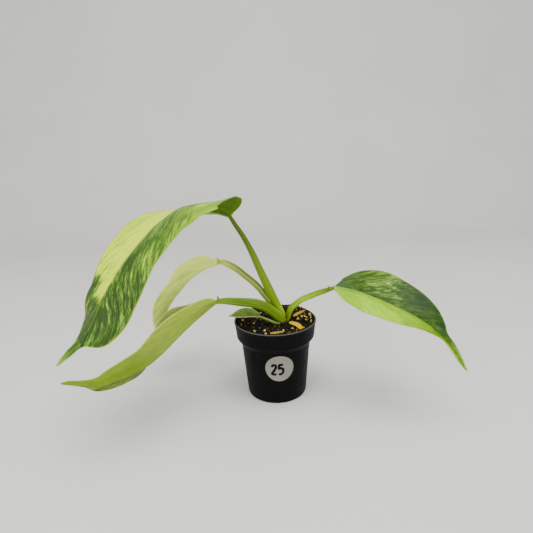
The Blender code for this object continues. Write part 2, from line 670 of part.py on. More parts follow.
def sticker(parts):
    """A round sticker bent to the pot's wall, with a gap behind it."""
    slope = (BODY_TOP_RADIUS - BODY_FOOT_RADIUS) / (BODY_TOP_HEIGHT - BODY_FOOT_HEIGHT)
    wall_radius = BODY_FOOT_RADIUS + slope * (STICKER_HEIGHT - BODY_FOOT_HEIGHT)
    build = bmesh.new()
    bmesh.ops.create_circle(
        build, cap_ends=True, cap_tris=True, segments=STICKER_SIDES, radius=STICKER_RADIUS
    )
    for _ in range(STICKER_CUTS):
        inner = [edge for edge in build.edges if not edge.is_boundary]
        bmesh.ops.subdivide_edges(build, edges=inner, cuts=1, use_grid_fill=True)
    bmesh.ops.triangulate(build, faces=build.faces)
    for vertex in build.verts:
        height = STICKER_HEIGHT + vertex.co.y
        radius = BODY_FOOT_RADIUS + slope * (height - BODY_FOOT_HEIGHT) + GAP
        angle = STICKER_TURN + vertex.co.x / wall_radius
        vertex.co = (radius * math.sin(angle), -radius * math.cos(angle), height)
    thing = finish("sticker", build, parts, "sticker_paper")
    shell = thing.modifiers.new("Thickness", "SOLIDIFY")
    shell.thickness = STICKER_THICKNESS
    shell.offset = 1
    return thing


def strip_rings(line, width, thickness, hollow, grow=0.0):
    """Rings along a dry strip lying on the mix: flat bark, or a hollow, arched bud sheath."""
    knots = chord(line)
    place, direction, side, upper = along(line, np.linspace(0, knots[-1], STRIP_RINGS))
    for i in range(STRIP_RINGS):
        share = i / (STRIP_RINGS - 1)
        taper = STRIP_END_WIDTH + (1 - STRIP_END_WIDTH) * math.sin(math.pi * share)
        half = width / 2 * taper + grow / MM
        deep = thickness / 2 + grow / MM
        beyond = (share * 2 - 1) * grow / MM
        ring = []
        for x, y in STRIP_SECTION:
            arch = hollow * (1 - x * x) if y < 0 else 0
            point = place[i] + direction[i] * beyond + side[i] * x * half + upper[i] * (y + arch) * deep
            ring.append(point * MM)
        yield ring


def build_plant(parts, cutters):
    finish("crown_stem", loft(list(crown_rings())), parts, "crown_green")
    clearance = finish("crown_clearance", loft(list(crown_rings(GAP))), cutters)
    for name, leaf in LEAVES.items():
        colour = "blade_pale" if name in PALE_LEAVES else "blade_green"
        blade(f"leaf_{name}_blade", leaf, *BLADE_GRIDS[name], parts, colour)
    for name, stalk in STALKS.items():
        rings = list(stalk_rings(stalk, STALK_RINGS[name]))
        thing = finish(f"leaf_{name}_stalk", loft(rings), parts, "stalk_green")
        if stalk.sheath_tip:
            boolean(thing, sheath_tip(f"sheath_tip_{name}", stalk, cutters), "UNION")
        boolean(thing, clearance)


def build_dry_pieces(parts, cutters):
    beds = []
    for name, (line, width, thickness) in BARK_STRIPS.items():
        finish(name, loft(list(strip_rings(line, width, thickness, 0))), parts, "bark")
        beds.append(finish(f"{name}_bed", loft(list(strip_rings(line, width, thickness, 0, GAP))), cutters))
    finish("dry_bud_sheath", loft(list(strip_rings(*BUD_SHEATH, BUD_SHEATH_HOLLOW))), parts, "dry_sheath")
    beds.append(finish("dry_bud_sheath_bed", loft(list(strip_rings(*BUD_SHEATH, 0, GAP))), cutters))
    return beds


def main():
    clear_scene()
    parts = new_collection("potted_variegated_philodendron")
    cutters = new_collection("cutters")
    pot(parts, cutters)
    beds = build_dry_pieces(parts, cutters)
    potting_mix(parts, cutters, beds)
    sticker(parts)
    build_plant(parts, cutters)


main()
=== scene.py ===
"""The looks of a young variegated philodendron in its 3 inch nursery pot.

Lengths in the tables of leaves, stalks and the small things on the pot are in millimetres and angles in
degrees. Everything that is made here is in metres, +Z up, with the middle of the pot's foot at the origin.
"""

import math
from typing import NamedTuple

import bmesh
import bpy
import numpy as np
from mathutils import Matrix, Vector, noise


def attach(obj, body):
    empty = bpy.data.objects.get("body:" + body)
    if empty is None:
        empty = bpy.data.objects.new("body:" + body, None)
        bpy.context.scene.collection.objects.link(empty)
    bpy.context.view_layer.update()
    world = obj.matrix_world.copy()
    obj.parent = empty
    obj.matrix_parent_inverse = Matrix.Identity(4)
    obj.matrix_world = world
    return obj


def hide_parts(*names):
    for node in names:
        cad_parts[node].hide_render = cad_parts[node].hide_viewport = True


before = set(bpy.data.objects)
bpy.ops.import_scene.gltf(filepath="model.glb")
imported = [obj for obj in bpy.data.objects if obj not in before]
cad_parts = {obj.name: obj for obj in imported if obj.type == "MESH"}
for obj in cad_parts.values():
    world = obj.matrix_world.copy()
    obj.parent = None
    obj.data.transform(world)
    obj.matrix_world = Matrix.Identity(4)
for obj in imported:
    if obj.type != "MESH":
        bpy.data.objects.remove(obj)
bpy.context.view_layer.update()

MM = 0.001
UP = np.array([0.0, 0.0, 1.0])

# Camera, from the pot's rim and foot in the photograph
CAMERA_PLACE = (-6.1 * MM, -348.2 * MM, 213.0 * MM)
CAMERA_DIP = math.radians(14.62)
CAMERA_LEAN = math.radians(-2.165)
CAMERA_LENS = 27.02
SENSOR = 36.0

# Pot
POT_HEIGHT = 72 * MM
RIM_RADIUS = 38 * MM
LIP_HEIGHT = 1.6 * MM
LIP_PROUD = 0.5 * MM
WALL = 1.3 * MM
BAND_FOOT = (36.1 * MM, 56.9 * MM)
BODY_TOP = (32.0 * MM, 51.5 * MM)
BODY_FOOT = (27.8 * MM, 2.2 * MM)
# The inner wall turns out to the band a little above the outer wall
INNER_BODY_TOP = BODY_TOP[1] + 0.4 * MM
INNER_BAND_FOOT = BAND_FOOT[1] + 0.6 * MM
FLOOR_TOP = 3.5 * MM
FLOOR_ROUND = 1.6 * MM
FLOOR_ROUND_TOP = FLOOR_TOP + 1.4 * MM
# The rounded foot, the foot ring, the recess under the floor and the disc at its middle
UNDERSIDE = (
    (27.3 * MM, 0.7 * MM), (26.5 * MM, 0), (23.0 * MM, 0), (21.8 * MM, 2.0 * MM), (11.2 * MM, 2.0 * MM),
    (10.0 * MM, 0), (0, 0),
)
CORNER_ROUND = 0.55 * MM
POT_STEPS = 160
POT_SHARP_FROM = math.radians(35)
# The band of the rim painted grey as a highlight, down from the top
RIM_PAINTED_HIGHLIGHT = (0.9 * MM, 0.2 * MM)
DRAIN_HOLES = 6
DRAIN_HOLE_RADIUS = 2.4 * MM
DRAIN_CIRCLE_RADIUS = 16.5 * MM

# Potting mix and crown
MIX_LEVEL = 69.8 * MM
MIX_LUMPS = ((4.4 * MM, 1.1 * MM), (1.4 * MM, 0.5 * MM))
MIX_LUMP_SLICE = 3.0
MIX_HEAP = (17 * MM, 21 * MM, 4.0 * MM, 20 * MM)
MIX_EDGE_DROP = 0.5 * MM
MIX_OFF_WALL = 0.4 * MM
MIX_SIDES = 120
# The rings of its surface, and where the first and the last lie as shares of its radius
MIX_RINGS = 44
MIX_SURFACE = (0.01, 0.985)
CROWN_DIP = 2.4 * MM
CROWN_DIP_REACH = 12 * MM
CROWN_CENTRE = (6.5 * MM, -1.8 * MM)
CROWN_PROFILE = ((57, 5.0), (61, 6.8), (68, 7.8), (71.0, 7.8), (72.6, 6.6), (73.6, 4.2), (74.0, 1.4))
CROWN_LUMPS = 0.35
# Where the crown turns brown on its way into the mix
CROWN_BURIED = (72 * MM, 70 * MM)
CROWN_RINGS = 30
CROWN_SIDES = 40
# Crumbs lie on the upward face alone, and keep off the stem
CRUMBS_ABOVE = 66 * MM
CRUMBS_CLEAR = 8.6 * MM
CRUMB_LUMPS_PER_METRE = 900.0

# Sticker, and the marker strokes on it, which are in millimetres
STICKER_RADIUS = 12.7 * MM
STICKER_HEIGHT = 36.9 * MM
STICKER_TURN = math.radians(4.0)
STICKER_OFF_WALL = 0.3 * MM
STICKER_THICKNESS = 0.3 * MM
STICKER_SIDES = 96
DIGITS_CENTRE = (0.2 * MM, 36.1 * MM)
DIGIT_STROKE = 2.3
DIGIT_RINGS = 70
# A stroke's section: how far out, as a share of its half-width, and how far off the paper
STROKE_SECTION = ((-1, 0.02), (-0.85, 0.09), (0, 0.11), (0.85, 0.09), (1, 0.02), (0, 0.0))

# Floor and backdrop
STAGE_FRONT = -2.5
STAGE_BACK = 0.75
STAGE_BEND = 0.5
STAGE_BEND_STEPS = 24
STAGE_HALF_WIDTH = 3.0
STAGE_HEIGHT = 2.6

ROOM_COLOUR = (0.97, 0.98, 1.0, 1.0)
ROOM_STRENGTH = 0.95
# Place, aim, size, power and colour
LIGHTS = {
    "overhead": ((0.05, -0.25, 1.15), (0, -0.02, 0.08), (0.9, 0.7), 12.0, (1.0, 0.99, 0.97)),
    "left_fill": ((-1.0, -0.8, 0.5), (0, 0, 0.1), (0.8, 0.8), 5.5, (0.98, 0.99, 1.0)),
    "right_fill": ((1.0, -0.6, 0.6), (0, 0, 0.1), (0.7, 0.7), 3.0, (0.98, 0.99, 1.0)),
    "front_fill": ((-0.2, -1.3, 0.35), (-0.03, 0, 0.08), (1.0, 0.6), 8.0, (1.0, 1.0, 1.0)),
}

# Blades, in millimetres, with the distance between side veins along the midrib
BLADE_THICKNESS = 0.65
VEIN_SPACING = 13.0
# How much more a side vein slants toward the tip near the margin
VEIN_BEND = 0.5
# Two waves that space the veins unevenly: a share of their spacing, and its length
VEIN_WANDER = ((0.3, 11.0), (0.2, 4.7))
VEIN_SHARPNESS = 6
# Veins and puffs die out this close to the midrib
MIDRIB_CLEAR = 3
MARGIN_WAVES = 5
# Relief: puffs between the side veins, the veins, and the midrib's groove above and ridge below
PUFF_ABOVE, PUFF_BELOW = 0.09, 0.07
VEIN_ABOVE, VEIN_BELOW = 0.06, 0.1
GROOVE_DEPTH = 0.35
# The ridge's height and half-width at the tip, each with how much it grows toward the stalk
RIDGE_HEIGHT = (0.4, 1.3)
RIDGE_WIDTH = (0.5, 0.9)
# The margin thins over this share of the half-width, down to this share of the thickness
MARGIN_THINS = (0.06, 0.45)


class Stalk(NamedTuple):
    """A leaf stalk, from the crown up."""

    points: tuple
    widths: tuple
    thicknesses: tuple
    grooves: tuple
    roll: float
    # Where the free tip of the sheath leaves it, as a share of its length, its length, and its rise
    sheath_tip: tuple = ()


class Leaf(NamedTuple):
    """A leaf blade.

    The midrib runs from the stalk to the tip. Left and right are seen from above, looking along the
    midrib. At each station, a share of the midrib's length, the whole blade is rolled about its
    midrib (right side up), each half is folded up by its fold, and curls by its curl out to its edge.
    """

    midrib: tuple
    stations: tuple
    roll: tuple
    fold_left: tuple
    fold_right: tuple
    curl_left: tuple
    curl_right: tuple
    half_width: float
    widths: tuple
    drip: float
    lobe_left: float
    lobe_right: float
    wave: float


# Half-widths are given at these shares of the blade's length before its drip tip
WIDTHS_AT = (0.12, 0.25, 0.42, 0.58, 0.73, 0.86, 0.95, 1.0)
# Where the mesh row to each of those points leaves the midrib
ROWS_FROM = (0.11, 0.20, 0.35, 0.50, 0.65, 0.79, 0.90, 0.96)
# The lobe behind the stalk: distance along, half-width, and where its row leaves the midrib
LOBE = ((0, 0, 0), (-0.035, 0.12, 0.003), (-0.065, 0.30, 0.01), (-0.07, 0.52, 0.02), (-0.045, 0.74, 0.035))
SHOULDER = (0.03, 0.88, 0.07)
# How far the base of a blade without lobes draws back towards its full width
BASE_ROUND = 0.05
# The drip tip, as shares of its own length and of the width at its start, and where its rows start
DRIP = ((0.35, 0.7), (0.75, 0.45), (1.0, 0.0))
DRIP_ROW = 0.96
# How quickly the rows lean towards the tip on their way to the edge
ROW_LEAN = 1.15

LEAVES = {
    "tall": Leaf(
        midrib=((-34, -28, 173), (-49, -29, 178), (-60, -33, 181), (-71, -37, 181), (-82, -42, 175),
                (-105, -56, 153), (-126, -69, 123), (-137, -76, 101), (-145, -79, 91), (-161, -85, 76)),
        stations=(0, 0.06, 0.13, 0.2, 0.3, 0.5, 0.75, 1),
        roll=(-36, -28, -16, -9, -3, 8, 17, 16),
        fold_left=(34, 22, 15, 9, 10, 6, -9, 9),
        fold_right=(37, 21, 11, 2, 6, 4, -9, 9),
        curl_left=(-82, -77, -57, -57, -51, -39, -45, -50),
        curl_right=(-2, -9, -10, -7, 5, 7, -6, -28),
        half_width=39,
        widths=(1.0, 0.96, 0.85, 0.82, 0.72, 0.58, 0.14, 0.11),
        drip=0.06, lobe_left=0.5, lobe_right=0.3, wave=0.25,
    ),
    "back": Leaf(
        midrib=((-54, 31, 119.5), (-64, 34, 116), (-74, 37, 110), (-85, 39, 102), (-95, 39, 91),
                (-104, 37, 80), (-110, 34, 70), (-115, 30, 57), (-119, 25, 43)),
        stations=(0, 0.25, 0.5, 0.75, 1),
        roll=(-13, -5, -7, -30, -50),
        fold_left=(32, 47, 43, 58, 55),
        fold_right=(32, 50, 48, 58, 51),
        curl_left=(-18, -14, -11, 10, 25),
        curl_right=(-64, -26, -3, 10, 10),
        half_width=21.7,
        widths=(0.98, 1.0, 0.96, 0.84, 0.72, 0.47, 0.24, 0.14),
        drip=0.04, lobe_left=0.18, lobe_right=0.18, wave=0.4,
    ),
    "low": Leaf(
        midrib=((-50.5, -35, 102.5), (-66, -44, 92), (-81, -57, 81), (-91, -66, 73), (-99, -76, 69),
                (-107, -87, 69), (-115, -96, 69), (-123, -104, 70), (-130, -109, 74), (-142, -116, 80)),
        stations=(0, 0.12, 0.25, 0.5, 0.75, 1),
        roll=(-17, -15, -8, -61, -77, -80),
        fold_left=(15, 36, 62, 34, 30, 37),
        fold_right=(10, 19, 40, 28, 28, 37),
        curl_left=(22, 18, 15, -5, -11, -8),
        curl_right=(10, 20, 30, -12, -30, -26),
        half_width=20,
        widths=(0.99, 1.0, 0.98, 0.85, 0.63, 0.48, 0.30, 0.17),
        drip=0.14, lobe_left=0.15, lobe_right=0.15, wave=0.3,
    ),
    "right": Leaf(
        midrib=((52.6, -18, 107), (65, -22.5, 105), (80, -29, 101), (94, -39, 97), (107, -48, 92),
                (120.5, -57.5, 84), (131.5, -67, 74), (141, -79.5, 56)),
        stations=(0, 0.25, 0.5, 0.75, 1),
        roll=(22, -3, -17, -34, -70),
        fold_left=(15, 23, 19, 35, 38),
        fold_right=(0, 32, 13, 36, 34),
        curl_left=(9, 12, 8, 5, 3),
        curl_right=(-20, -72, -8, 2, 6),
        half_width=30,
        widths=(1.05, 1.04, 0.93, 0.83, 0.66, 0.45, 0.27, 0.15),
        drip=0.31, lobe_left=0.04, lobe_right=0.04, wave=0.1,
    ),
    "small": Leaf(
        midrib=((-14, -12, 80), (-23, -11, 80.4), (-33, -9, 80), (-42.5, -7, 79)),
        stations=(0, 0.5, 1),
        roll=(9, 9, 9),
        fold_left=(24, 20, 16),
        fold_right=(24, 22, 16),
        curl_left=(0, 0, 0),
        curl_right=(6, 6, 6),
        half_width=9.2,
        widths=(0.52, 0.76, 0.9, 0.89, 0.76, 0.44, 0.17, 0.07),
        drip=0.05, lobe_left=0.05, lobe_right=0.05, wave=0.1,
    ),
}

STALKS = {
    "tall": Stalk(
        points=((7.0, 1.6, 71), (6.2, 0.9, 73.4), (3.8, 0, 80.2), (-0.1, -2, 90.7), (-6.4, -6, 107),
                (-12.4, -11, 123.4), (-18, -15.5, 139), (-24.5, -20.5, 154), (-30.6, -24.8, 165.3),
                (-34, -27.5, 172.0)),
        widths=(7.6, 8.4, 8.2, 7.8, 7.4, 6.3, 5.4, 4.3, 3.7, 3.2),
        thicknesses=(6.0, 6.0, 6.0, 6.0, 5.8, 5.2, 4.6, 3.9, 3.5, 3.0),
        grooves=(0.8, 0.8, 0.8, 0.7, 0.6, 0.5, 0.4, 0.2, 0.1, 0),
        roll=-75,
    ),
    "back": Stalk(
        points=((7.4, 5.4, 73), (5.7, 7.8, 74), (0.1, 9.4, 80.7), (-7.6, 11.8, 89.7),
                (-14.4, 14.5, 98.3), (-20, 17, 103.5), (-27.4, 20, 109.3), (-35, 23, 114.9),
                (-42.7, 26, 118.9), (-50, 29.1, 120.9), (-54.6, 30.9, 119.8)),
        widths=(5.4, 5.8, 6.0, 6.2, 6.2, 6.2, 6.1, 6.1, 6.1, 4.8, 3.2),
        thicknesses=(3.8, 4.2, 4.4, 4.4, 4.4, 4.2, 4.0, 3.9, 3.8, 3.6, 2.6),
        grooves=(0.6, 0.8, 0.9, 0.9, 0.9, 0.9, 0.9, 0.9, 0.8, 0.4, 0.2),
        roll=60, sheath_tip=(0.94, 8.0, 26),
    ),
    "low": Stalk(
        points=((7.6, -6.2, 71.4), (5.2, -7.3, 74.6), (1.8, -8.6, 78.6), (-2.7, -10.4, 83.2),
                (-7.5, -12.4, 87.5), (-14.4, -15.6, 91.8), (-21.2, -19, 94.7), (-27.9, -22.5, 96.8),
                (-34.4, -26.5, 99.2), (-40.8, -30, 101.2), (-46.2, -33, 102.4), (-50.6, -35.1, 102.2)),
        widths=(6.6, 8.0, 8.6, 8.9, 8.9, 8.7, 8.3, 7.9, 7.0, 6.3, 4.8, 3.2),
        thicknesses=(4.6, 5.4, 5.8, 6.0, 6.0, 5.8, 5.6, 5.2, 4.8, 4.4, 3.8, 2.8),
        grooves=(0.8, 0.8, 0.9, 0.9, 0.9, 0.9, 0.9, 0.8, 0.7, 0.5, 0.3, 0.2),
        roll=-65, sheath_tip=(0.94, 5.5, 62),
    ),
    "right": Stalk(
        points=((10.6, -3.8, 71.2), (11.9, -4.5, 75), (13.4, -5, 80), (16.1, -5.6, 84.6), (19.8, -6.5, 88.1),
                (25.1, -7.8, 92.4), (32.2, -9.5, 95.8), (39, -12, 99.2), (44, -14, 101.5), (48.9, -16.5, 104),
                (53.0, -18.2, 106.4)),
        widths=(5.6, 6.1, 5.9, 5.7, 5.5, 5.4, 5.4, 5.1, 4.8, 3.6, 2.8),
        thicknesses=(4.6, 4.6, 4.6, 4.6, 4.4, 4.2, 4.0, 3.8, 3.6, 3.2, 2.6),
        grooves=(0.7, 0.8, 0.8, 0.9, 0.9, 0.9, 0.9, 0.8, 0.6, 0.3, 0.2),
        roll=-40, sheath_tip=(0.88, 3.8, 40),
    ),
    "small": Stalk(
        points=((3.8, -7.8, 70.2), (0.6, -10.8, 71.9), (-2.2, -12.2, 73.9), (-6.5, -12.6, 76.4),
                (-11.4, -12.7, 78.6), (-14.4, -12.1, 79.6)),
        widths=(3.2, 3.4, 3.3, 3.2, 3.0, 2.2),
        thicknesses=(2.8, 2.9, 2.9, 2.8, 2.6, 1.8),
        grooves=(0.3, 0.5, 0.6, 0.5, 0.3, 0.1),
        roll=-20,
    ),
}

class Finish(NamedTuple):
    """How a blade is meshed and finished."""

    slot: str
    rows: int
    columns: int
    # How far a side vein runs along the blade for each millimetre outward
    vein_slant: float
    seed: float


FINISHES = {
    "tall": Finish("blade_variegated", 190, 34, 2.1, 2.0),
    "back": Finish("blade_pale", 130, 24, 2.4, 14.0),
    "low": Finish("blade_lime", 150, 24, 2.2, 23.0),
    "right": Finish("blade_variegated", 150, 30, 2.3, 31.0),
    "small": Finish("blade_plain", 60, 14, 1.6, 40.0),
}

STALK_RINGS = 72
STALK_SIDES = 28
# The free tip of a sheath is a small flap, in millimetres
FLAP_RINGS = 12
FLAP_SIDES = 16
FLAP_HALF_WIDTH = 1.5
FLAP_TIP_HALF_WIDTH = 0.15
# How thick the flap is beside its width, and how far it bends up
FLAP_THICKNESS = 0.65
FLAP_BEND = 0.6
# Its foot: how far out from the stalk's middle, as a share of its radius, and how far back of its length
FLAP_OUT = 0.4
FLAP_BACK = 0.15
# The place along the stalk whose colour it takes
FLAP_COLOUR_AT = 0.9


class Strip(NamedTuple):
    """A dry piece on the mix: rough splintered bark, or an arched, hollow bud sheath."""

    line: tuple
    width: float
    thickness: float
    solid: str
    slot: str
    # How far its under side is hollowed, and how lumpy it is, as shares
    hollow: float
    lumps: float
    seed: int


STRIPS = {
    "right_bark": Strip(
        ((17.5, 4.5, 71.6), (23.5, 10, 72.8), (29, 15.5, 72.6)),
        width=4.4, thickness=1.8, solid="bark_strip_right", slot="bark", hollow=0, lumps=0.6, seed=16,
    ),
    "front_bark": Strip(
        ((-5, -31, 70.8), (0.8, -30.2, 71.2), (6.4, -28.8, 71)),
        width=3.4, thickness=1.6, solid="bark_strip_front", slot="bark", hollow=0, lumps=0.6, seed=16,
    ),
    "bud_sheath": Strip(
        ((13.4, -10.6, 71.2), (16.6, -14.8, 72.4), (20, -19.6, 72.4), (22.6, -25, 71.2)),
        width=5.4, thickness=3.0, solid="dry_bud_sheath", slot="dry_sheath", hollow=0.9, lumps=0.15, seed=14,
    ),
}
STRIP_RINGS = 80
STRIP_SIDES = 48
# The width at its ends, and how much its lumps count: ridges along it, chips, and how far they sink it
STRIP_END_WIDTH = 0.25
STRIP_RIDGES = 0.35
STRIP_CHIPS = 0.45
STRIP_SINK = 0.25
# How much they count for its ragged outline and its thin edges
STRIP_RAGGED = 0.3
# Name, dark, light and accent, where along the piece the accent sets in and is full, and roughness
STRIP_FINISHES = {
    "bark": ("dry_bark", (112, 84, 16), (214, 176, 52), (160, 106, 24), (-10, 50), 0.85),
    "dry_sheath": ("dry_sheath", (172, 148, 0), (214, 190, 0), (226, 140, 0), (9, 18), 0.5),
}


class Crumbs(NamedTuple):
    """One kind of crumbs on the mix, in millimetres, with how many lie on a square metre."""

    finish: str
    dark: tuple
    light: tuple
    grain: float
    roughness: float
    per_area: int
    smallest: tuple
    largest: tuple
    lumps: float
    seed: int


CRUMBS = {
    "dark_crumbs": Crumbs(
        "dark_crumbs", (9, 7, 4), (40, 29, 19), grain=0.6, roughness=0.85,
        per_area=420000, smallest=(0.4, 0.4, 0.3), largest=(1.6, 1.2, 1.0), lumps=0.8, seed=3,
    ),
    "bark_crumbs": Crumbs(
        "bark_crumbs", (40, 28, 10), (140, 108, 44), grain=0.6, roughness=0.8,
        per_area=48000, smallest=(0.5, 0.3, 0.2), largest=(2.2, 1.1, 0.6), lumps=0.8, seed=8,
    ),
    "pale_crumbs": Crumbs(
        "pale_grains", (150, 142, 44), (216, 208, 118), grain=0.9, roughness=0.8,
        per_area=20000, smallest=(0.3, 0.3, 0.3), largest=(0.9, 0.8, 0.7), lumps=0.5, seed=14,
    ),
    "moss_crumbs": Crumbs(
        "moss_bits", (40, 56, 6), (110, 122, 34), grain=0.5, roughness=0.9,
        per_area=20000, smallest=(0.3, 0.3, 0.2), largest=(1.0, 0.9, 0.6), lumps=0.6, seed=21,
    ),
}
GRAIN_SEED = 11
# Half a grain's sizes, from and to, and its lumps, as shares of its size
GRAIN_HALF_SIZES = (0.4, 0.62)
GRAIN_LUMPS = 0.22
GRAIN_LUMPS_PER_METRE = 1400

# Pale grains and bits that stand out in the photograph: x, y and size
GRAINS_SEEN = (
    (25.6, 22.0, 1.7), (21.3, -1.2, 2.6), (25.0, 1.9, 2.4), (28.0, 3.7, 1.9), (29.3, 0.6, 1.7),
    (33.0, 4.9, 2.2), (33.5, 9.5, 1.6), (33.2, 1.0, 1.6), (33.0, -6.6, 1.9), (28.4, -4.6, 1.6),
    (-13.7, 19.3, 2.2), (-30.3, 2.1, 1.6), (-19.7, -7.1, 2.0), (-30.8, -9.5, 1.4), (-18.7, -25.0, 1.9),
    (-10.0, -24.3, 2.1), (6.6, -25.0, 2.1), (14.8, -21.5, 2.2), (-9.1, -31.0, 1.8), (24.6, -21.2, 1.6),
    (20.2, 23.0, 1.2), (2.0, -22.5, 1.2),
)

# Middle lines of the marker strokes, from the middle of the number
DIGITS = (
    ((-4.6, 2.6), (-4.3, 4.4), (-2.9, 5.0), (-1.5, 4.2), (-1.5, 2.4), (-2.9, -0.6), (-4.7, -4.2),
     (-2.8, -4.6), (-0.9, -4.4)),
    ((5.0, 5.0), (3.2, 4.9), (1.6, 4.7), (1.4, 2.8), (1.3, 1.2), (3.0, 1.5), (4.6, 0.6), (5.0, -1.4),
     (4.1, -3.7), (2.4, -4.7), (0.9, -4.0)),
)


def srgb(*levels):
    """A colour given as it looks on screen, 0 to 255, made linear."""
    shares = [level / 255 for level in levels]
    return tuple(s / 12.92 if s <= 0.04045 else ((s + 0.055) / 1.055) ** 2.4 for s in shares)


# Node trees


class Nodes:
    """A node tree being built. Most methods add a node and give back what it puts out."""

    def __init__(self, tree):
        self.tree = tree

    def feed(self, inputs, **values):
        """Link or set inputs, whose names are written with underscores for spaces."""
        self.put(inputs, {name.replace("_", " "): value for name, value in values.items()})

    def put(self, inputs, values):
        for name, value in values.items():
            if isinstance(value, bpy.types.NodeSocket):
                self.tree.links.new(value, inputs[name])
            else:
                inputs[name].default_value = value

    def add(self, kind, inputs=None, **settings):
        made = self.tree.nodes.new(kind)
        for name, value in settings.items():
            setattr(made, name, value)
        self.put(made.inputs, inputs or {})
        return made.outputs

    def group(self, group, **values):
        made = self.tree.nodes.new("ShaderNodeGroup")
        made.node_tree = group
        self.feed(made.inputs, **values)
        return made.outputs

    def maths(self, operation, *values, clamp=False):
        return self.add("ShaderNodeMath", dict(enumerate(values)), operation=operation, use_clamp=clamp)[0]

    def times(self, first, second):
        return self.maths("MULTIPLY", first, second)

    def minus(self, first, second):
        return self.maths("SUBTRACT", first, second)

    def vectors(self, operation, inputs):
        return self.add("ShaderNodeVectorMath", inputs, operation=operation)

    def vector(self, *values):
        return self.add("ShaderNodeCombineXYZ", dict(enumerate(values)))[0]

    def parts(self, vector):
        return self.add("ShaderNodeSeparateXYZ", {0: vector})

    def flat_map(self, layer):
        return self.add("ShaderNodeUVMap", uv_map=layer)[0]

    def object_place(self):
        return self.add("ShaderNodeTexCoord")["Object"]

    def spread(self, value, low, high, to_low=0.0, to_high=1.0, kind="SMOOTHSTEP"):
        inputs = {"Value": value, "From Min": low, "From Max": high, "To Min": to_low, "To Max": to_high}
        return self.add("ShaderNodeMapRange", inputs, interpolation_type=kind)[0]

    def mix(self, share, first, second):
        """Mix two colours. Each is a socket or a linear colour of three numbers."""
        first, second = (
            value if isinstance(value, bpy.types.NodeSocket) else (*value, 1.0) for value in (first, second)
        )
        return self.add("ShaderNodeMix", {0: share, 6: first, 7: second}, data_type="RGBA")[2]

    def mix_values(self, share, first, second):
        return self.add("ShaderNodeMix", {0: share, 2: first, 3: second}, data_type="FLOAT")[0]

    def ramp(self, share, stops):
        """A colour ramp. Each stop is (place, value), and a value is a number or a linear colour."""
        made = self.tree.nodes.new("ShaderNodeValToRGB")
        self.put(made.inputs, {0: share})
        elements = made.color_ramp.elements
        while len(elements) < len(stops):
            elements.new(0.5)
        for element, (place, value) in zip(elements, stops):
            element.position = place
            element.color = (*value, 1) if isinstance(value, tuple) else (value, value, value, 1)
        return made.outputs[0]

    def noise(self, place, scale, detail, roughness=0.5):
        inputs = {"Vector": place, "Scale": scale, "Detail": detail, "Roughness": roughness}
        return self.add("ShaderNodeTexNoise", inputs)[0]

    def bump(self, height, distance, strength=1.0):
        return self.add("ShaderNodeBump", {"Height": height, "Distance": distance, "Strength": strength})[0]


def new_tree(name, tree_kind, inputs, outputs):
    """A node tree with named sockets. An input is given by its kind, or by the number it starts at."""
    tree = bpy.data.node_groups.new(name, tree_kind)
    for label, given in inputs.items():
        kind = given if isinstance(given, str) else "Float"
        socket = tree.interface.new_socket(name=label, in_out="INPUT", socket_type=f"NodeSocket{kind}")
        if kind != given:
            socket.default_value = given
    for label, kind in outputs.items():
        tree.interface.new_socket(name=label, in_out="OUTPUT", socket_type=f"NodeSocket{kind}")
    nodes = Nodes(tree)
    return nodes, nodes.add("NodeGroupInput"), tree.nodes.new("NodeGroupOutput").inputs


def new_material(name, **even):
    """A material with one Principled shader, whose even values are set on its own sockets."""
    made = bpy.data.materials.new(name)
    made.use_nodes = True
    nodes = Nodes(made.node_tree)
    shader = made.node_tree.nodes["Principled BSDF"].inputs
    nodes.feed(shader, **even)
    return made, nodes, shader


# Shared shader groups


def streaks_group():
    """Noise drawn out along one direction of a flat map, as streaks along veins or fibres."""
    inputs = {"Vector": "Vector", "Across": 2 * MM, "Along": 20 * MM, "Seed": 0.0, "Waver": 0.0}
    nodes, given, out = new_tree("streaks", "ShaderNodeTree", inputs, {"Streaks": "Float"})
    x, y, _ = nodes.parts(given["Vector"])
    wander = nodes.noise(given["Vector"], 55.0, 2.0)
    shift = nodes.times(nodes.minus(wander, 0.5), given["Waver"])
    across = nodes.maths("DIVIDE", nodes.maths("ADD", x, shift), given["Across"])
    along_it = nodes.maths("DIVIDE", y, given["Along"])
    streaks = nodes.noise(nodes.vector(across, along_it, given["Seed"]), 1.0, 3.0, 0.6)
    nodes.feed(out, Streaks=nodes.spread(streaks, 0.25, 0.75, kind="LINEAR"))
    return nodes.tree


def relief_group():
    """A normal with fine lines along the veins and a fine grain."""
    inputs = {"Vector": "Vector", "Spacing": 1.9 * MM, "Lines": 0.15, "Grain": 0.5, "Grain Size": 0.6 * MM}
    nodes, given, out = new_tree("leaf relief", "ShaderNodeTree", inputs, {"Normal": "Vector"})
    turn = nodes.maths("DIVIDE", nodes.parts(given["Vector"])[0], given["Spacing"])
    lines = nodes.times(nodes.maths("SINE", nodes.times(turn, 2 * math.pi)), given["Lines"])
    grain = nodes.noise(given["Vector"], nodes.maths("DIVIDE", 1.0, given["Grain Size"]), 2.0)
    height = nodes.maths("ADD", lines, nodes.times(grain, given["Grain"]))
    nodes.feed(out, Normal=nodes.bump(height, 0.1 * MM, 0.5))
    return nodes.tree


def grain_group():
    """Fine grain on Object coordinates: a mask, and a normal."""
    inputs = {"Size": 1 * MM, "Depth": 0.1 * MM}
    nodes, given, out = new_tree("grain", "ShaderNodeTree", inputs, {"Mask": "Float", "Normal": "Vector"})
    grain = nodes.noise(nodes.object_place(), nodes.maths("DIVIDE", 1.0, given["Size"]), 4.0)
    nodes.feed(out, Mask=nodes.spread(grain, 0.3, 0.7), Normal=nodes.bump(grain, given["Depth"]))
    return nodes.tree


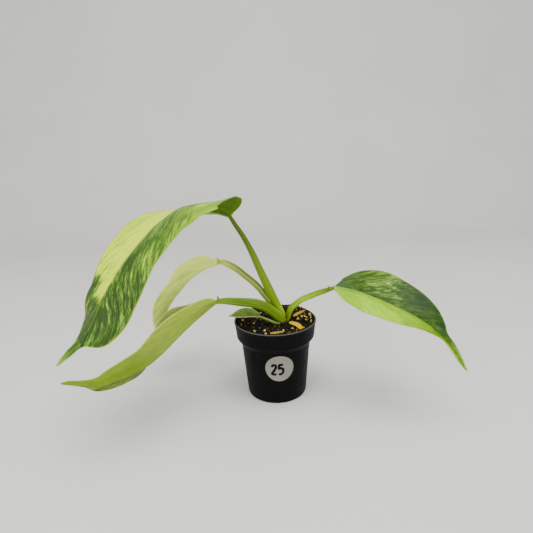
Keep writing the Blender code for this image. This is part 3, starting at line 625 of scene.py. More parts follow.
STREAKS = streaks_group()
RELIEF = relief_group()
GRAIN = grain_group()


# Leaf materials

# Thin blades let light through, so that their shaded side glows
LEAF_GLOW = {
    "IOR": 1.45, "Specular_IOR_Level": 0.22, "Subsurface_Weight": 0.7, "Subsurface_Radius": (1.0, 1.0, 0.5),
    "Subsurface_Scale": 2.4 * MM,
}


class Half(NamedTuple):
    """One half of a face of a blade.

    Its five tones run from dark to cream, as they look on screen. How pale it is along the blade is
    given near the midrib and near the margin, and busy is how strongly the streaks change that. Each
    of these is a table of places and levels in percent, or one level.
    """

    tones: tuple
    inner: tuple | int
    outer: tuple | int
    busy: tuple | int


class Coat(NamedTuple):
    """The colours and pattern of one face of a blade."""

    left: Half
    right: Half
    midrib: tuple
    margin: tuple
    margin_width: float
    # The size of the streaks across and along the veins, in millimetres
    streak: tuple
    roughness: float
    # How strongly fine lines along the veins take the midrib's colour
    veined: float


# Where the five tones lie between dark and cream
TONES_AT = (0.10, 0.32, 0.50, 0.68, 0.88)
# Sizes and weights of the layers of streaks: patches, streaks, fine streaks and speckles
STREAK_LAYERS = ((2.9, 2.2, 0.55), (1.0, 1.0, 1.0), (0.42, 0.5, 0.7), (0.2, 0.2, 0.45))

# Where a half goes over from its inner to its outer levels, and the midrib's line, as shares of its width
NEAR_MARGIN = (0.3, 0.75)
MIDRIB_LINE = (0.03, 0.012)
# How strongly the midrib's line and the margin show
MIDRIB_SHARE = 0.7
MARGIN_SHARE = 0.8
# The size of the fine lines along the veins, and how much they dull the gloss
VEIN_LINES = {"Across": 0.9 * MM, "Along": 60 * MM, "Waver": 0.8 * MM}
VEIN_DULL = 0.1
# Streaks waver by this share of their width, and a blade's right half has streaks of its own
STREAK_WAVER = 0.6
RIGHT_HALF_SEED = 7.3

BACK_PALE = ((140, 154, 72), (156, 174, 84), (186, 206, 92), (214, 238, 106), (228, 248, 126))
BACK_MOTTLED = ((70, 98, 30), (112, 136, 44), (160, 178, 60), (206, 218, 80), (226, 234, 90))
LOW_OLIVE = ((58, 78, 16), (90, 112, 36), (120, 138, 56), (138, 156, 70), (166, 182, 90))
LOW_LIME = ((44, 60, 0), (76, 98, 0), (102, 130, 0), (118, 138, 46), (152, 178, 44))
RIGHT_SHADED = ((60, 84, 24), (84, 108, 36), (106, 130, 46), (126, 148, 60), (150, 170, 80))
SMALL_MUTED = ((56, 84, 16), (74, 100, 28), (88, 114, 40), (112, 136, 54), (150, 166, 100))

# The upper face of each blade, then its under face
COATS = {
    "tall": (
        Coat(
            left=Half(
                ((32, 60, 1), (54, 88, 14), (86, 118, 36), (126, 166, 8), (166, 200, 8)),
                inner=((0, 56), (15, 62), (28, 43), (42, 34), (60, 22), (85, 12), (93, 34), (100, 66)),
                outer=((0, 56), (15, 64), (30, 50), (45, 48), (58, 32), (80, 24), (93, 40), (100, 66)),
                busy=((0, 25), (22, 40), (42, 60), (60, 95), (88, 95), (94, 20)),
            ),
            right=Half(
                ((30, 56, 1), (54, 86, 8), (104, 138, 6), (160, 194, 0), (196, 224, 2)),
                # Darker toward the margin than at the midrib over most of its length: partly painted shade of
                # a fold, partly its own streaked tone
                inner=((0, 50), (8, 80), (30, 90), (68, 86), (72, 22), (87, 12), (93, 36), (100, 70)),
                outer=((0, 50), (8, 74), (30, 74), (61, 76), (65, 14), (85, 18), (93, 40), (100, 70)),
                busy=((50, 34), (62, 70), (90, 80), (95, 20)),
            ),
            midrib=(100, 126, 24), margin=(128, 156, 14), margin_width=0.02,
            streak=(3.2, 14), roughness=0.4, veined=0.28,
        ),
        Coat(
            left=Half(((50, 78, 2), (60, 90, 4), (72, 102, 8), (92, 124, 12), (120, 150, 20)), 38, 42, 40),
            right=Half(
                ((64, 92, 12), (96, 124, 22), (140, 160, 40), (168, 184, 60), (186, 200, 80)),
                inner=((0, 40), (10, 70), (66, 70), (72, 30), (100, 50)),
                outer=((0, 40), (60, 70), (65, 40), (100, 60)),
                busy=40,
            ),
            midrib=(112, 140, 40), margin=(140, 160, 40), margin_width=0.03,
            streak=(3.2, 14), roughness=0.5, veined=0.2,
        ),
    ),
    "back": (
        Coat(
            left=Half(BACK_MOTTLED, 62, 66, 60), right=Half(BACK_MOTTLED, 50, 56, 70),
            midrib=(170, 186, 80), margin=(214, 226, 90), margin_width=0.04,
            streak=(3.4, 14), roughness=0.42, veined=0.2,
        ),
        # Under face: its long pale streaks and its lighter tone toward the base and the left margin are
        # partly painted highlight, partly its own pale colour
        Coat(
            left=Half(
                BACK_PALE,
                inner=((0, 68), (25, 62), (40, 56), (55, 42), (70, 34), (100, 30)),
                outer=((0, 84), (30, 78), (45, 74), (60, 52), (75, 42), (100, 40)),
                busy=30,
            ),
            right=Half(BACK_PALE, 60, 60, 30),
            midrib=(206, 226, 90), margin=(206, 222, 50), margin_width=0.04,
            streak=(4, 30), roughness=0.5, veined=0.3,
        ),
    ),
    "low": (
        Coat(
            left=Half(LOW_OLIVE, ((0, 70), (50, 60), (100, 40)), ((0, 75), (50, 65), (100, 50)), 50),
            right=Half(LOW_OLIVE, 68, 72, 30),
            midrib=(140, 158, 70), margin=(176, 190, 110), margin_width=0.035,
            streak=(3.4, 16), roughness=0.45, veined=0.2,
        ),
        Coat(
            left=Half(
                LOW_LIME,
                inner=((0, 66), (12, 76), (30, 74), (42, 71), (52, 62), (64, 46), (80, 48), (100, 52)),
                outer=((0, 86), (15, 82), (30, 76), (50, 73), (62, 64), (75, 56), (90, 54), (100, 54)),
                busy=12,
            ),
            right=Half(
                LOW_LIME,
                inner=((0, 70), (44, 60), (50, 20), (70, 20), (80, 40), (90, 50), (100, 54)),
                outer=((0, 70), (44, 60), (50, 30), (70, 30), (80, 35), (90, 48), (100, 54)),
                busy=80,
            ),
            midrib=(112, 134, 36), margin=(178, 196, 84), margin_width=0.035,
            streak=(3.4, 14), roughness=0.5, veined=0.12,
        ),
    ),
    "right": (
        Coat(
            left=Half(
                ((18, 42, 0), (36, 70, 0), (64, 98, 20), (106, 138, 50), (150, 178, 84)),
                inner=((0, 32), (12, 40), (20, 44), (34, 47), (40, 32), (60, 28), (76, 36), (84, 66),
                       (100, 76)),
                outer=((0, 28), (12, 38), (20, 46), (34, 55), (42, 26), (55, 16), (76, 24), (84, 70),
                       (100, 78)),
                busy=((8, 40), (20, 62), (40, 74), (50, 50), (76, 40), (84, 20)),
            ),
            right=Half(
                ((46, 64, 0), (84, 108, 4), (106, 144, 0), (132, 176, 0), (160, 202, 10)),
                inner=((0, 46), (15, 54), (30, 68), (42, 66), (55, 58), (66, 52), (74, 26), (86, 34),
                       (100, 50)),
                outer=((0, 62), (15, 70), (30, 78), (45, 78), (55, 64), (66, 52), (74, 40), (86, 60),
                       (100, 66)),
                busy=26,
            ),
            midrib=(72, 102, 20), margin=(100, 132, 6), margin_width=0.022,
            streak=(2.6, 9), roughness=0.4, veined=0.25,
        ),
        Coat(
            left=Half(RIGHT_SHADED, 30, 30, 50), right=Half(RIGHT_SHADED, 66, 70, 30),
            midrib=(140, 164, 70), margin=(150, 172, 70), margin_width=0.025,
            streak=(2.6, 9), roughness=0.5, veined=0.2,
        ),
    ),
    "small": (
        Coat(
            left=Half(SMALL_MUTED, 36, 46, 40),
            right=Half(SMALL_MUTED, ((0, 30), (100, 56)), ((0, 40), (100, 60)), 40),
            midrib=(112, 134, 60), margin=(158, 172, 104), margin_width=0.09,
            streak=(1.6, 7), roughness=0.5, veined=0.2,
        ),
        Coat(
            left=Half(SMALL_MUTED, 60, 60, 30), right=Half(SMALL_MUTED, 60, 60, 30),
            midrib=(112, 134, 60), margin=(158, 172, 104), margin_width=0.09,
            streak=(1.6, 7), roughness=0.55, veined=0.2,
        ),
    ),
}


def level_along(nodes, share, levels):
    """A level in percent along the blade, from a table of places and levels or from one level."""
    if isinstance(levels, int):
        return levels / 100
    return nodes.ramp(share, [(place / 100, level / 100) for place, level in levels])


def half_colour(nodes, half, share, outness, shift):
    inner, outer, busy = (level_along(nodes, share, levels) for levels in half[1:])
    level = nodes.maths("MULTIPLY_ADD", shift, busy, nodes.mix_values(outness, inner, outer))
    return nodes.ramp(level, [(place, srgb(*tone)) for place, tone in zip(TONES_AT, half.tones)])


def leaf_material(name, coat, seed):
    """A face of a blade: streaked tones along the veins, a fine midrib and a fine margin."""
    made, nodes, shader = new_material(name, **LEAF_GLOW)
    vein = nodes.flat_map("vein")
    share, across, _ = nodes.parts(nodes.flat_map("blade"))
    signed = nodes.maths("MULTIPLY_ADD", across, 2.0, -1.0)
    out = nodes.maths("ABSOLUTE", signed)
    on_right = nodes.maths("GREATER_THAN", signed, 0.0)
    own_seed = nodes.maths("MULTIPLY_ADD", on_right, RIGHT_HALF_SEED, seed)
    streak_width, streak_length = coat.streak
    shift = 0.0
    for wide, long, weight in STREAK_LAYERS:
        width = streak_width * wide * MM
        streaks = nodes.group(
            STREAKS, Vector=vein, Across=width, Along=streak_length * long * MM,
            Waver=width * STREAK_WAVER, Seed=nodes.maths("ADD", own_seed, 3 * wide),
        )[0]
        shift = nodes.maths("MULTIPLY_ADD", nodes.minus(streaks, 0.5), weight, shift)
    outness = nodes.spread(out, *NEAR_MARGIN)
    sides = [half_colour(nodes, half, share, outness, shift) for half in (coat.left, coat.right)]
    colour = nodes.mix(on_right, *sides)
    midrib = srgb(*coat.midrib)
    lines = nodes.group(STREAKS, Vector=vein, Seed=own_seed, **VEIN_LINES)[0]
    colour = nodes.mix(nodes.spread(lines, 0.55, 0.95, 0, coat.veined), colour, midrib)
    colour = nodes.mix(nodes.spread(out, *MIDRIB_LINE, 0, MIDRIB_SHARE), colour, midrib)
    margin = coat.margin_width
    rim = nodes.spread(out, 1 - margin * 1.4, 1 - margin * 0.5, 0, MARGIN_SHARE)
    nodes.feed(
        shader,
        Base_Color=nodes.mix(rim, colour, srgb(*coat.margin)),
        Roughness=nodes.maths("MULTIPLY_ADD", lines, VEIN_DULL, coat.roughness),
        Normal=nodes.group(RELIEF, Vector=vein)[0],
    )
    return made


# Where the rims of the groove begin and are full, as a share of the way to them
GROOVE_RIM = (0.40, 0.48)
# Soft fibres and fine lines on a stalk, as shares of its girth and length, and its range of gloss
STALK_FIBRES = {"Across": 0.05, "Along": 0.3}
STALK_LINES = {"Across": 0.012, "Along": 0.5}
STALK_GLOSS = (0.34, 0.5)
# Colours of each stalk from the crown, 0, to the blade, 1, then its rims' colour and how strongly they show
STALK_GREENS = {
    "tall": (
        ((0, 170, 204, 0), (0.12, 140, 172, 0), (0.2, 108, 138, 0), (0.35, 104, 132, 6), (0.6, 92, 118, 16),
         (0.85, 62, 88, 4), (1, 58, 84, 4)),
        (128, 156, 4), 0.25,
    ),
    "back": (
        ((0, 92, 120, 0), (0.3, 92, 108, 34), (0.7, 108, 124, 50), (0.93, 160, 176, 62), (1, 156, 164, 6)),
        (190, 202, 120), 0.6,
    ),
    "low": (
        ((0, 104, 136, 0), (0.3, 80, 112, 0), (0.7, 76, 108, 0), (0.92, 96, 128, 4), (1, 90, 114, 10)),
        (164, 190, 70), 0.3,
    ),
    "right": (
        ((0, 76, 96, 0), (0.3, 122, 156, 8), (0.45, 130, 170, 0), (0.65, 116, 152, 0), (0.85, 84, 108, 0),
         (1, 80, 102, 2)),
        (160, 190, 60), 0.45,
    ),
    "small": (((0, 104, 116, 52), (0.5, 106, 128, 48), (1, 92, 120, 38)), (150, 166, 110), 0.4),
}


def stalk_material(name, seed):
    """A stalk: colours from the crown to the blade, long fibres, and lighter rims of the groove."""
    tones, rim, rim_share = STALK_GREENS[name]
    stops = [(share, srgb(*levels)) for share, *levels in tones]
    made, nodes, shader = new_material(f"{name}_stalk_green", IOR=1.45, Specular_IOR_Level=0.2)
    share, around, _ = nodes.parts(nodes.flat_map("stalk"))
    fibres_at = nodes.vector(around, share, seed)
    fibres = nodes.group(STREAKS, Vector=fibres_at, Seed=seed, **STALK_FIBRES)[0]
    lines = nodes.group(STREAKS, Vector=fibres_at, Seed=seed + 2, **STALK_LINES)[0]
    colour = nodes.ramp(share, stops)
    colour = nodes.mix(nodes.spread(fibres, 0.5, 1, 0, 0.3), colour, srgb(*rim))
    colour = nodes.mix(nodes.times(lines, 0.15), colour, stops[-1][1])
    to_rim = nodes.maths("ABSOLUTE", nodes.minus(nodes.maths("FRACT", nodes.times(around, 2.0)), 0.5))
    nodes.feed(
        shader,
        Base_Color=nodes.mix(nodes.spread(to_rim, *GROOVE_RIM, 0, rim_share), colour, srgb(*rim)),
        Roughness=nodes.spread(fibres, 0, 1, *STALK_GLOSS),
        Normal=nodes.bump(lines, 0.15 * MM, 0.6),
    )
    return made


# Other materials


def grained(name, dark, light, size, share=1.0, fine=None, pits=None, gloss=None, by_height=None, **even):
    """Two colours in soft patches. Sizes are in millimetres.

    It may also have a fine relief (size, depth), pits in that relief (colour, share), a roughness that
    runs over the patches (from, to), and a colour by height (none at, full at, share, colour).
    """
    made, nodes, shader = new_material(name, **even)
    patches = nodes.group(GRAIN, Size=size * MM)["Mask"]
    colour = nodes.mix(nodes.times(patches, share), srgb(*dark), srgb(*light))
    if fine:
        grain = nodes.group(GRAIN, Size=fine[0] * MM, Depth=fine[1] * MM)
        nodes.feed(shader, Normal=grain["Normal"])
    if pits:
        colour = nodes.mix(nodes.times(grain["Mask"], pits[1]), colour, srgb(*pits[0]))
    if by_height:
        none_at, full_at, most, shown = by_height
        height = nodes.parts(nodes.object_place())[2]
        colour = nodes.mix(nodes.times(nodes.spread(height, none_at, full_at), most), colour, srgb(*shown))
    if gloss:
        nodes.feed(shader, Roughness=nodes.spread(patches, 0, 1, *gloss))
    nodes.feed(shader, Base_Color=colour)
    return made


def strip_material(name, dark, light, accent, accent_from, roughness):
    """Dry fibrous stuff with streaks along its length, and another colour in patches and toward its end."""
    made, nodes, shader = new_material(name, Roughness=roughness, Specular_IOR_Level=0.2)
    layer = nodes.flat_map("strip")
    fibres = nodes.group(STREAKS, Vector=layer, Across=0.4 * MM, Along=6 * MM, Seed=3.0)[0]
    patches = nodes.group(STREAKS, Vector=layer, Across=3 * MM, Along=6 * MM, Seed=8.0)[0]
    toward_end = nodes.spread(nodes.parts(layer)[1], accent_from[0] * MM, accent_from[1] * MM)
    in_patches = nodes.maths("MULTIPLY", nodes.maths("ADD", toward_end, 0.05), patches, clamp=True)
    colour = nodes.mix(fibres, srgb(*dark), srgb(*light))
    colour = nodes.mix(in_patches, colour, srgb(*accent))
    colour = nodes.mix(nodes.times(toward_end, 0.5), colour, srgb(*accent))
    nodes.feed(shader, Base_Color=colour, Normal=nodes.bump(fibres, 0.4 * MM, 0.8))
    return made


# Curves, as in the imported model


def through(knots, values, at):
    """A smooth curve through the values at the knots, read at the places given."""
    knots = np.asarray(knots, float)
    values = np.asarray(values, float)
    at = np.asarray(at, float)
    slope = np.gradient(values, knots, axis=0)
    i = np.clip(np.searchsorted(knots, at, side="right") - 1, 0, len(knots) - 2)
    span = knots[i + 1] - knots[i]
    u = np.clip((at - knots[i]) / span, 0, 1)
    if values.ndim > 1:
        span, u = span[:, None], u[:, None]
    return (
        (1 + 2 * u) * (1 - u) ** 2 * values[i]
        + u * (1 - u) ** 2 * span * slope[i]
        + u * u * (3 - 2 * u) * values[i + 1]
        + u * u * (u - 1) * span * slope[i + 1]
    )


def chord(points):
    steps = np.linalg.norm(np.diff(np.asarray(points, float), axis=0), axis=1)
    return np.concatenate([[0], np.cumsum(steps)])


def along(points, distance):
    """Place, direction, side and upper side at distances along a line, straight on beyond its ends."""
    points = np.asarray(points, float)
    knots = chord(points)
    step = 0.5
    inside = np.clip(distance, step, knots[-1] - step)
    direction = through(knots, points, inside + step) - through(knots, points, inside - step)
    direction /= np.linalg.norm(direction, axis=1, keepdims=True)
    held = np.clip(distance, 0, knots[-1])
    place = through(knots, points, held) + direction * (distance - held)[:, None]
    side = np.cross(direction, UP)
    side /= np.linalg.norm(side, axis=1, keepdims=True)
    return place, direction, side, np.cross(side, direction)


def rolled(side, upper, angle):
    """Turn side and upper side about the direction, so that the right side rises."""
    angle = np.asarray(angle)[..., None]
    return side * np.cos(angle) + upper * np.sin(angle), upper * np.cos(angle) - side * np.sin(angle)


def outline(leaf, right, rows):
    """Along, half-width and row start, as shares, at even steps round the edge from stalk to tip."""
    lobe = leaf.lobe_right if right else leaf.lobe_left
    body = [*LOBE, SHOULDER] + [list(row) for row in zip(WIDTHS_AT, leaf.widths, ROWS_FROM)]
    last = leaf.widths[-1]
    tail = [(1 + share * leaf.drip, last * width, 1 + share * leaf.drip * DRIP_ROW) for share, width in DRIP]
    points = np.array([*body, *tail], float)
    points[-1, 2] = 1 + leaf.drip
    # A leaf that widens slowly from its stalk has a narrow base
    points[: len(LOBE) + 1, 1] *= min(1, leaf.widths[0] / SHOULDER[1]) ** 2
    knots = chord(points[:, :2] * (3, 1))
    points[: len(LOBE), 0] *= lobe
    points[: len(LOBE), 0] += BASE_ROUND * max(0, 1 - 2 * lobe) * points[: len(LOBE), 1] ** 2
    points[:, [0, 2]] /= 1 + leaf.drip
    return through(knots, points, np.linspace(0, knots[-1], rows))


def blade_points(leaf, place, across):
    """Points of the blade at distances along and across its flat shape (right is positive)."""
    length = chord(leaf.midrib)[-1]
    point, _, side, upper = along(leaf.midrib, place)
    share = np.clip(place / length, 0, 1)

    def angle(values):
        return np.radians(through(leaf.stations, values, share))

    side, upper = rolled(side, upper, angle(leaf.roll))
    right = across >= 0
    out = np.abs(across)
    fold = np.where(right, angle(leaf.fold_right), angle(leaf.fold_left))
    curl = np.where(right, angle(leaf.curl_right), angle(leaf.curl_left))
    half = curl * out / leaf.half_width / 2
    reach = out * np.sinc(half / math.pi)
    rise = reach * np.sin(fold + half)
    waves = np.sin(MARGIN_WAVES * 2 * math.pi * share + right)
    rise = rise + leaf.wave * (out / leaf.half_width) ** 2 * waves
    outward = np.where(right, 1, -1) * reach * np.cos(fold + half)
    return point + side * outward[:, None] + upper * rise[:, None]


# Meshes


def show(name, data):
    thing = bpy.data.objects.new(name, data)
    bpy.context.scene.collection.objects.link(thing)
    return thing


def new_piece(name, mesh, *materials):
    for each in materials:
        mesh.materials.append(each)
    mesh.shade_smooth()
    return show(name, mesh)


def from_points(name, vertices, faces, *materials):
    mesh = bpy.data.meshes.new(name)
    mesh.from_pydata([tuple(vertex) for vertex in vertices], [], faces)
    mesh.update()
    return new_piece(name, mesh, *materials)


def from_build(name, build, *materials):
    mesh = bpy.data.meshes.new(name)
    build.to_mesh(mesh)
    build.free()
    return new_piece(name, mesh, *materials)


def as_plain_mesh(thing):
    """Apply the modifiers, so that the object holds a plain mesh."""
    bpy.context.view_layer.update()
    evaluated = thing.evaluated_get(bpy.context.evaluated_depsgraph_get())
    mesh = bpy.data.meshes.new_from_object(evaluated)
    thing.modifiers.clear()
    thing.data = mesh


def add_map(mesh, name, vertex_places):
    layer = mesh.uv_layers.new(name=name)
    corners = np.empty(len(mesh.loops), np.int32)
    mesh.loops.foreach_get("vertex_index", corners)
    layer.data.foreach_set("uv", np.asarray(vertex_places, np.float32)[corners].ravel())


def place_piece(thing, slot, *nodes):
    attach(thing, "root")
    if nodes:
        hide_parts(*nodes)
    return thing


def turns(count):
    """Even angles once round."""
    return np.linspace(0, 2 * math.pi, count, endpoint=False)


def round_shares(count):
    """A value for each point of a ring, from 1 at the first down to 0 opposite it."""
    return np.abs(np.linspace(-1, 1, count, endpoint=False))


def tube(name, rings, material, layer=None, places=None):
    """A closed piece through rings of points, with its ends drawn to a point, and a flat map if given."""
    rings = [np.asarray(ring, float) for ring in rings]
    sides = len(rings[0])
    vertices = np.concatenate([*rings, [rings[0].mean(axis=0)], [rings[-1].mean(axis=0)]])
    first = len(rings) * sides
    last_ring = first - sides
    around = [(j, (j + 1) % sides) for j in range(sides)]
    rows = range(0, last_ring, sides)
    faces = [(i + j, i + k, i + sides + k, i + sides + j) for i in rows for j, k in around]
    for j, k in around:
        faces += [(first, k, j), (first + 1, last_ring + j, last_ring + k)]
    thing = from_points(name, vertices, faces, material)
    build = bmesh.new()
    build.from_mesh(thing.data)
    bmesh.ops.recalc_face_normals(build, faces=build.faces)
    build.to_mesh(thing.data)
    build.free()
    if layer:
        ends = [places[0].mean(axis=0), places[-1].mean(axis=0)]
        add_map(thing.data, layer, np.concatenate([*places, ends]))
    return thing


def join(first, *others):
    """Fuse more pieces into the first one's mesh."""
    with bpy.context.temp_override(active_object=first, selected_editable_objects=[first, *others]):
        bpy.ops.object.join()


# Leaves


def blade_relief(leaf, finish, place, across, signed):
    """How far the upper face rises and the under face drops, and a flat map that follows the veins."""
    out = np.abs(across)
    to_stalk = 1 - place / chord(leaf.midrib)[-1]
    to_margin = 1 - np.abs(signed)
    slant = finish.vein_slant
    vein = place - out * (slant + VEIN_BEND * out / leaf.half_width)
    flat_map = np.stack([vein, place * slant + out], axis=2) / math.hypot(1, slant)
    (slow, slow_length), (quick, quick_length) = VEIN_WANDER
    uneven = slow * np.sin(vein / slow_length) + quick * np.sin(vein / quick_length + np.sign(across))
    to_vein = np.abs((vein / VEIN_SPACING + uneven) % 1 - 0.5) * 2
    fade = np.clip(to_margin, 0, 1) ** 0.5 * np.clip(out / MIDRIB_CLEAR, 0, 1)
    veins = (1 - to_vein) ** VEIN_SHARPNESS * fade
    puffs = np.sin(to_vein * math.pi / 2) * fade
    groove = np.exp(-(out**2)) * np.clip(to_stalk, 0.1, 1)
    rise = PUFF_ABOVE * puffs - VEIN_ABOVE * veins - GROOVE_DEPTH * groove
    ridge = np.exp(-((out / (RIDGE_WIDTH[0] + RIDGE_WIDTH[1] * to_stalk)) ** 2))
    ridge = ridge * (RIDGE_HEIGHT[0] + RIDGE_HEIGHT[1] * np.clip(to_stalk, 0, 1))
    thin = np.clip(to_margin / MARGIN_THINS[0], MARGIN_THINS[1], 1)
    return rise, BLADE_THICKNESS * thin - PUFF_BELOW * puffs + VEIN_BELOW * veins + ridge, flat_map


def blade(name, leaf, finish):
    """One blade: an upper and an under face with sunk and raised veins, closed round the margin."""
    rows, columns = finish.rows, finish.columns
    length = chord(leaf.midrib)[-1]
    share_out = np.linspace(0, 1, columns + 1)
    halves = []
    for right in (False, True):
        turn = 1 if right else -1
        edge = outline(leaf, right, rows)
        place = (edge[:, 2:] + (edge[:, :1] - edge[:, 2:]) * share_out**ROW_LEAN) * length
        across = edge[:, 1:2] * share_out * leaf.half_width * turn
        # The left half's points on the midrib lie a hair to the left, so that they count as its own
        points = blade_points(leaf, place.ravel(), across.ravel() + (0 if right else -1e-6))
        signed = np.broadcast_to(share_out * turn, place.shape)
        halves.append([points.reshape(rows, columns + 1, 3), place, across, signed])
    points, place, across, signed = (
        np.concatenate([left[:, :0:-1], right], axis=1) for left, right in zip(*halves)
    )
    normal = np.cross(np.gradient(points, axis=1), np.gradient(points, axis=0))
    normal[0], normal[-1] = normal[1], normal[-2]
    normal /= np.linalg.norm(normal, axis=2, keepdims=True)
    rise, drop, vein_map = blade_relief(leaf, finish, place, across, signed)
    blade_map = np.stack([place / length, signed / 2 + 0.5], axis=2)
    wide = 2 * columns + 1
    count = (rows - 2) * wide + 2

    def flat(values):
        """The values in one row, with one place for the stalk's end and one for the tip."""
        between = values[1:-1].reshape(-1, values.shape[2])
        return np.concatenate([values[:1, columns], between, values[-1:, columns]])

    def index(row, column):
        return 0 if row == 0 else count - 1 if row == rows - 1 else 1 + (row - 1) * wide + column

    faces, sides = [], []
    for row in range(rows - 1):
        for column in range(2 * columns):
            spots = ((row, column), (row, column + 1), (row + 1, column + 1), (row + 1, column))
            # At the two ends the corners on one row are the same point
            faces.append(tuple(dict.fromkeys(index(*spot) for spot in spots)))
        for column, step in ((0, 1), (2 * columns, -1)):
            near, far = index(row, column), index(row + 1, column)
            sides.append((near, far, far + count, near + count)[::step])
    lower = [tuple(corner + count for corner in face[::-1]) for face in faces]
    vertices = [flat(points + normal * rise[..., None]), flat(points - normal * drop[..., None])]
    coats = zip(("upper", "under"), COATS[name])
    materials = [leaf_material(f"{name}_leaf_{side}", coat, finish.seed) for side, coat in coats]
    thing = from_points(f"{name}_leaf", np.concatenate(vertices) * MM, faces + lower + sides, *materials)
    slots = [0] * len(faces) + [1] * (len(lower) + len(sides))
    thing.data.polygons.foreach_set("material_index", slots)
    add_map(thing.data, "vein", np.concatenate([flat(vein_map)] * 2) * MM)
    add_map(thing.data, "blade", np.concatenate([flat(blade_map)] * 2))
    place_piece(thing, finish.slot, f"leaf_{name}_blade")


def stalk_section(width, thickness, groove):
    """Points round a stalk's section: a round belly, and an upper side from round to grooved."""
    turn = turns(STALK_SIDES)
    closed = np.sin(turn)
    open_sheath = 0.75 * np.cos(turn) ** 2 - 0.3 * closed**2
    upper = (1 - groove) * closed + groove * open_sheath * np.clip(closed * 6, 0, 1)
    return np.cos(turn) * width / 2, np.where(closed > 1e-6, upper, closed) * thickness / 2


def stalk(name, shape, material):
    knots = chord(shape.points)
    distance = np.linspace(0, knots[-1], STALK_RINGS)
    place, _, side, upper = along(shape.points, distance)
    side, upper = rolled(side, upper, np.full(STALK_RINGS, math.radians(shape.roll)))
    sizes = [through(knots, values, distance) for values in (shape.widths, shape.thicknesses, shape.grooves)]
    around = round_shares(STALK_SIDES)
    rings, places = [], []
    for i in range(STALK_RINGS):
        x, y = stalk_section(*(size[i] for size in sizes))
        rings.append((place[i] + side[i] * x[:, None] + upper[i] * y[:, None]) * MM)
        places.append(np.stack([np.full(STALK_SIDES, distance[i] / knots[-1]), around], axis=1))
    thing = tube(f"{name}_stalk", rings, material, "stalk", places)
    if shape.sheath_tip:
        join(thing, sheath_tip(shape, material))
    place_piece(thing, "stalk", f"leaf_{name}_stalk")


def sheath_tip(shape, material):
    """The free tip of the sheath: a small pointed flap."""
    share, length, rise = shape.sheath_tip
    distance = np.array([chord(shape.points)[-1] * share])
    place, direction, side, upper = (values[0] for values in along(shape.points, distance))
    radius = through(chord(shape.points), shape.widths, distance)[0] / 2
    lean = direction * math.cos(math.radians(rise)) + upper * math.sin(math.radians(rise))
    lift = np.cross(side, lean)
    foot = place + upper * radius * FLAP_OUT - lean * length * FLAP_BACK
    turn = turns(FLAP_SIDES)[:, None]
    rings = []
    for share_up in np.linspace(0, 1, FLAP_RINGS):
        wide = FLAP_HALF_WIDTH * (1 - share_up**2.2) + FLAP_TIP_HALF_WIDTH
        centre = foot + lean * length * share_up + lift * FLAP_BEND * share_up**2
        section = side * np.cos(turn) * wide + lift * np.sin(turn) * wide * FLAP_THICKNESS
        rings.append((centre + section) * MM)
    colour_at = np.full(FLAP_SIDES, FLAP_COLOUR_AT)
    places = [np.stack([colour_at, round_shares(FLAP_SIDES)], axis=1)] * FLAP_RINGS
    return tube("sheath_tip", rings, material, "stalk", places)


# The pot and what is in it


def rounded(profile, radius):
    """The profile with each inner corner turned into a short arc."""
    points = [np.array(p, float) for p in profile]
    out = [points[0]]
    for before, corner, after in zip(points, points[1:], points[2:]):
        to_before, to_after = before - corner, after - corner
        cut = min(radius, np.linalg.norm(to_before) * 0.45, np.linalg.norm(to_after) * 0.45)
        start = corner + to_before / np.linalg.norm(to_before) * cut
        end = corner + to_after / np.linalg.norm(to_after) * cut
        for u in np.linspace(0, 1, 5):
            out.append((1 - u) ** 2 * start + 2 * u * (1 - u) * corner + u * u * end)
    out.append(points[-1])
    return out


def wall_radius(height):
    """The outer radius of the wall below the band."""
    slope = (BODY_TOP[0] - BODY_FOOT[0]) / (BODY_TOP[1] - BODY_FOOT[1])
    return BODY_FOOT[0] + slope * (height - BODY_FOOT[1])


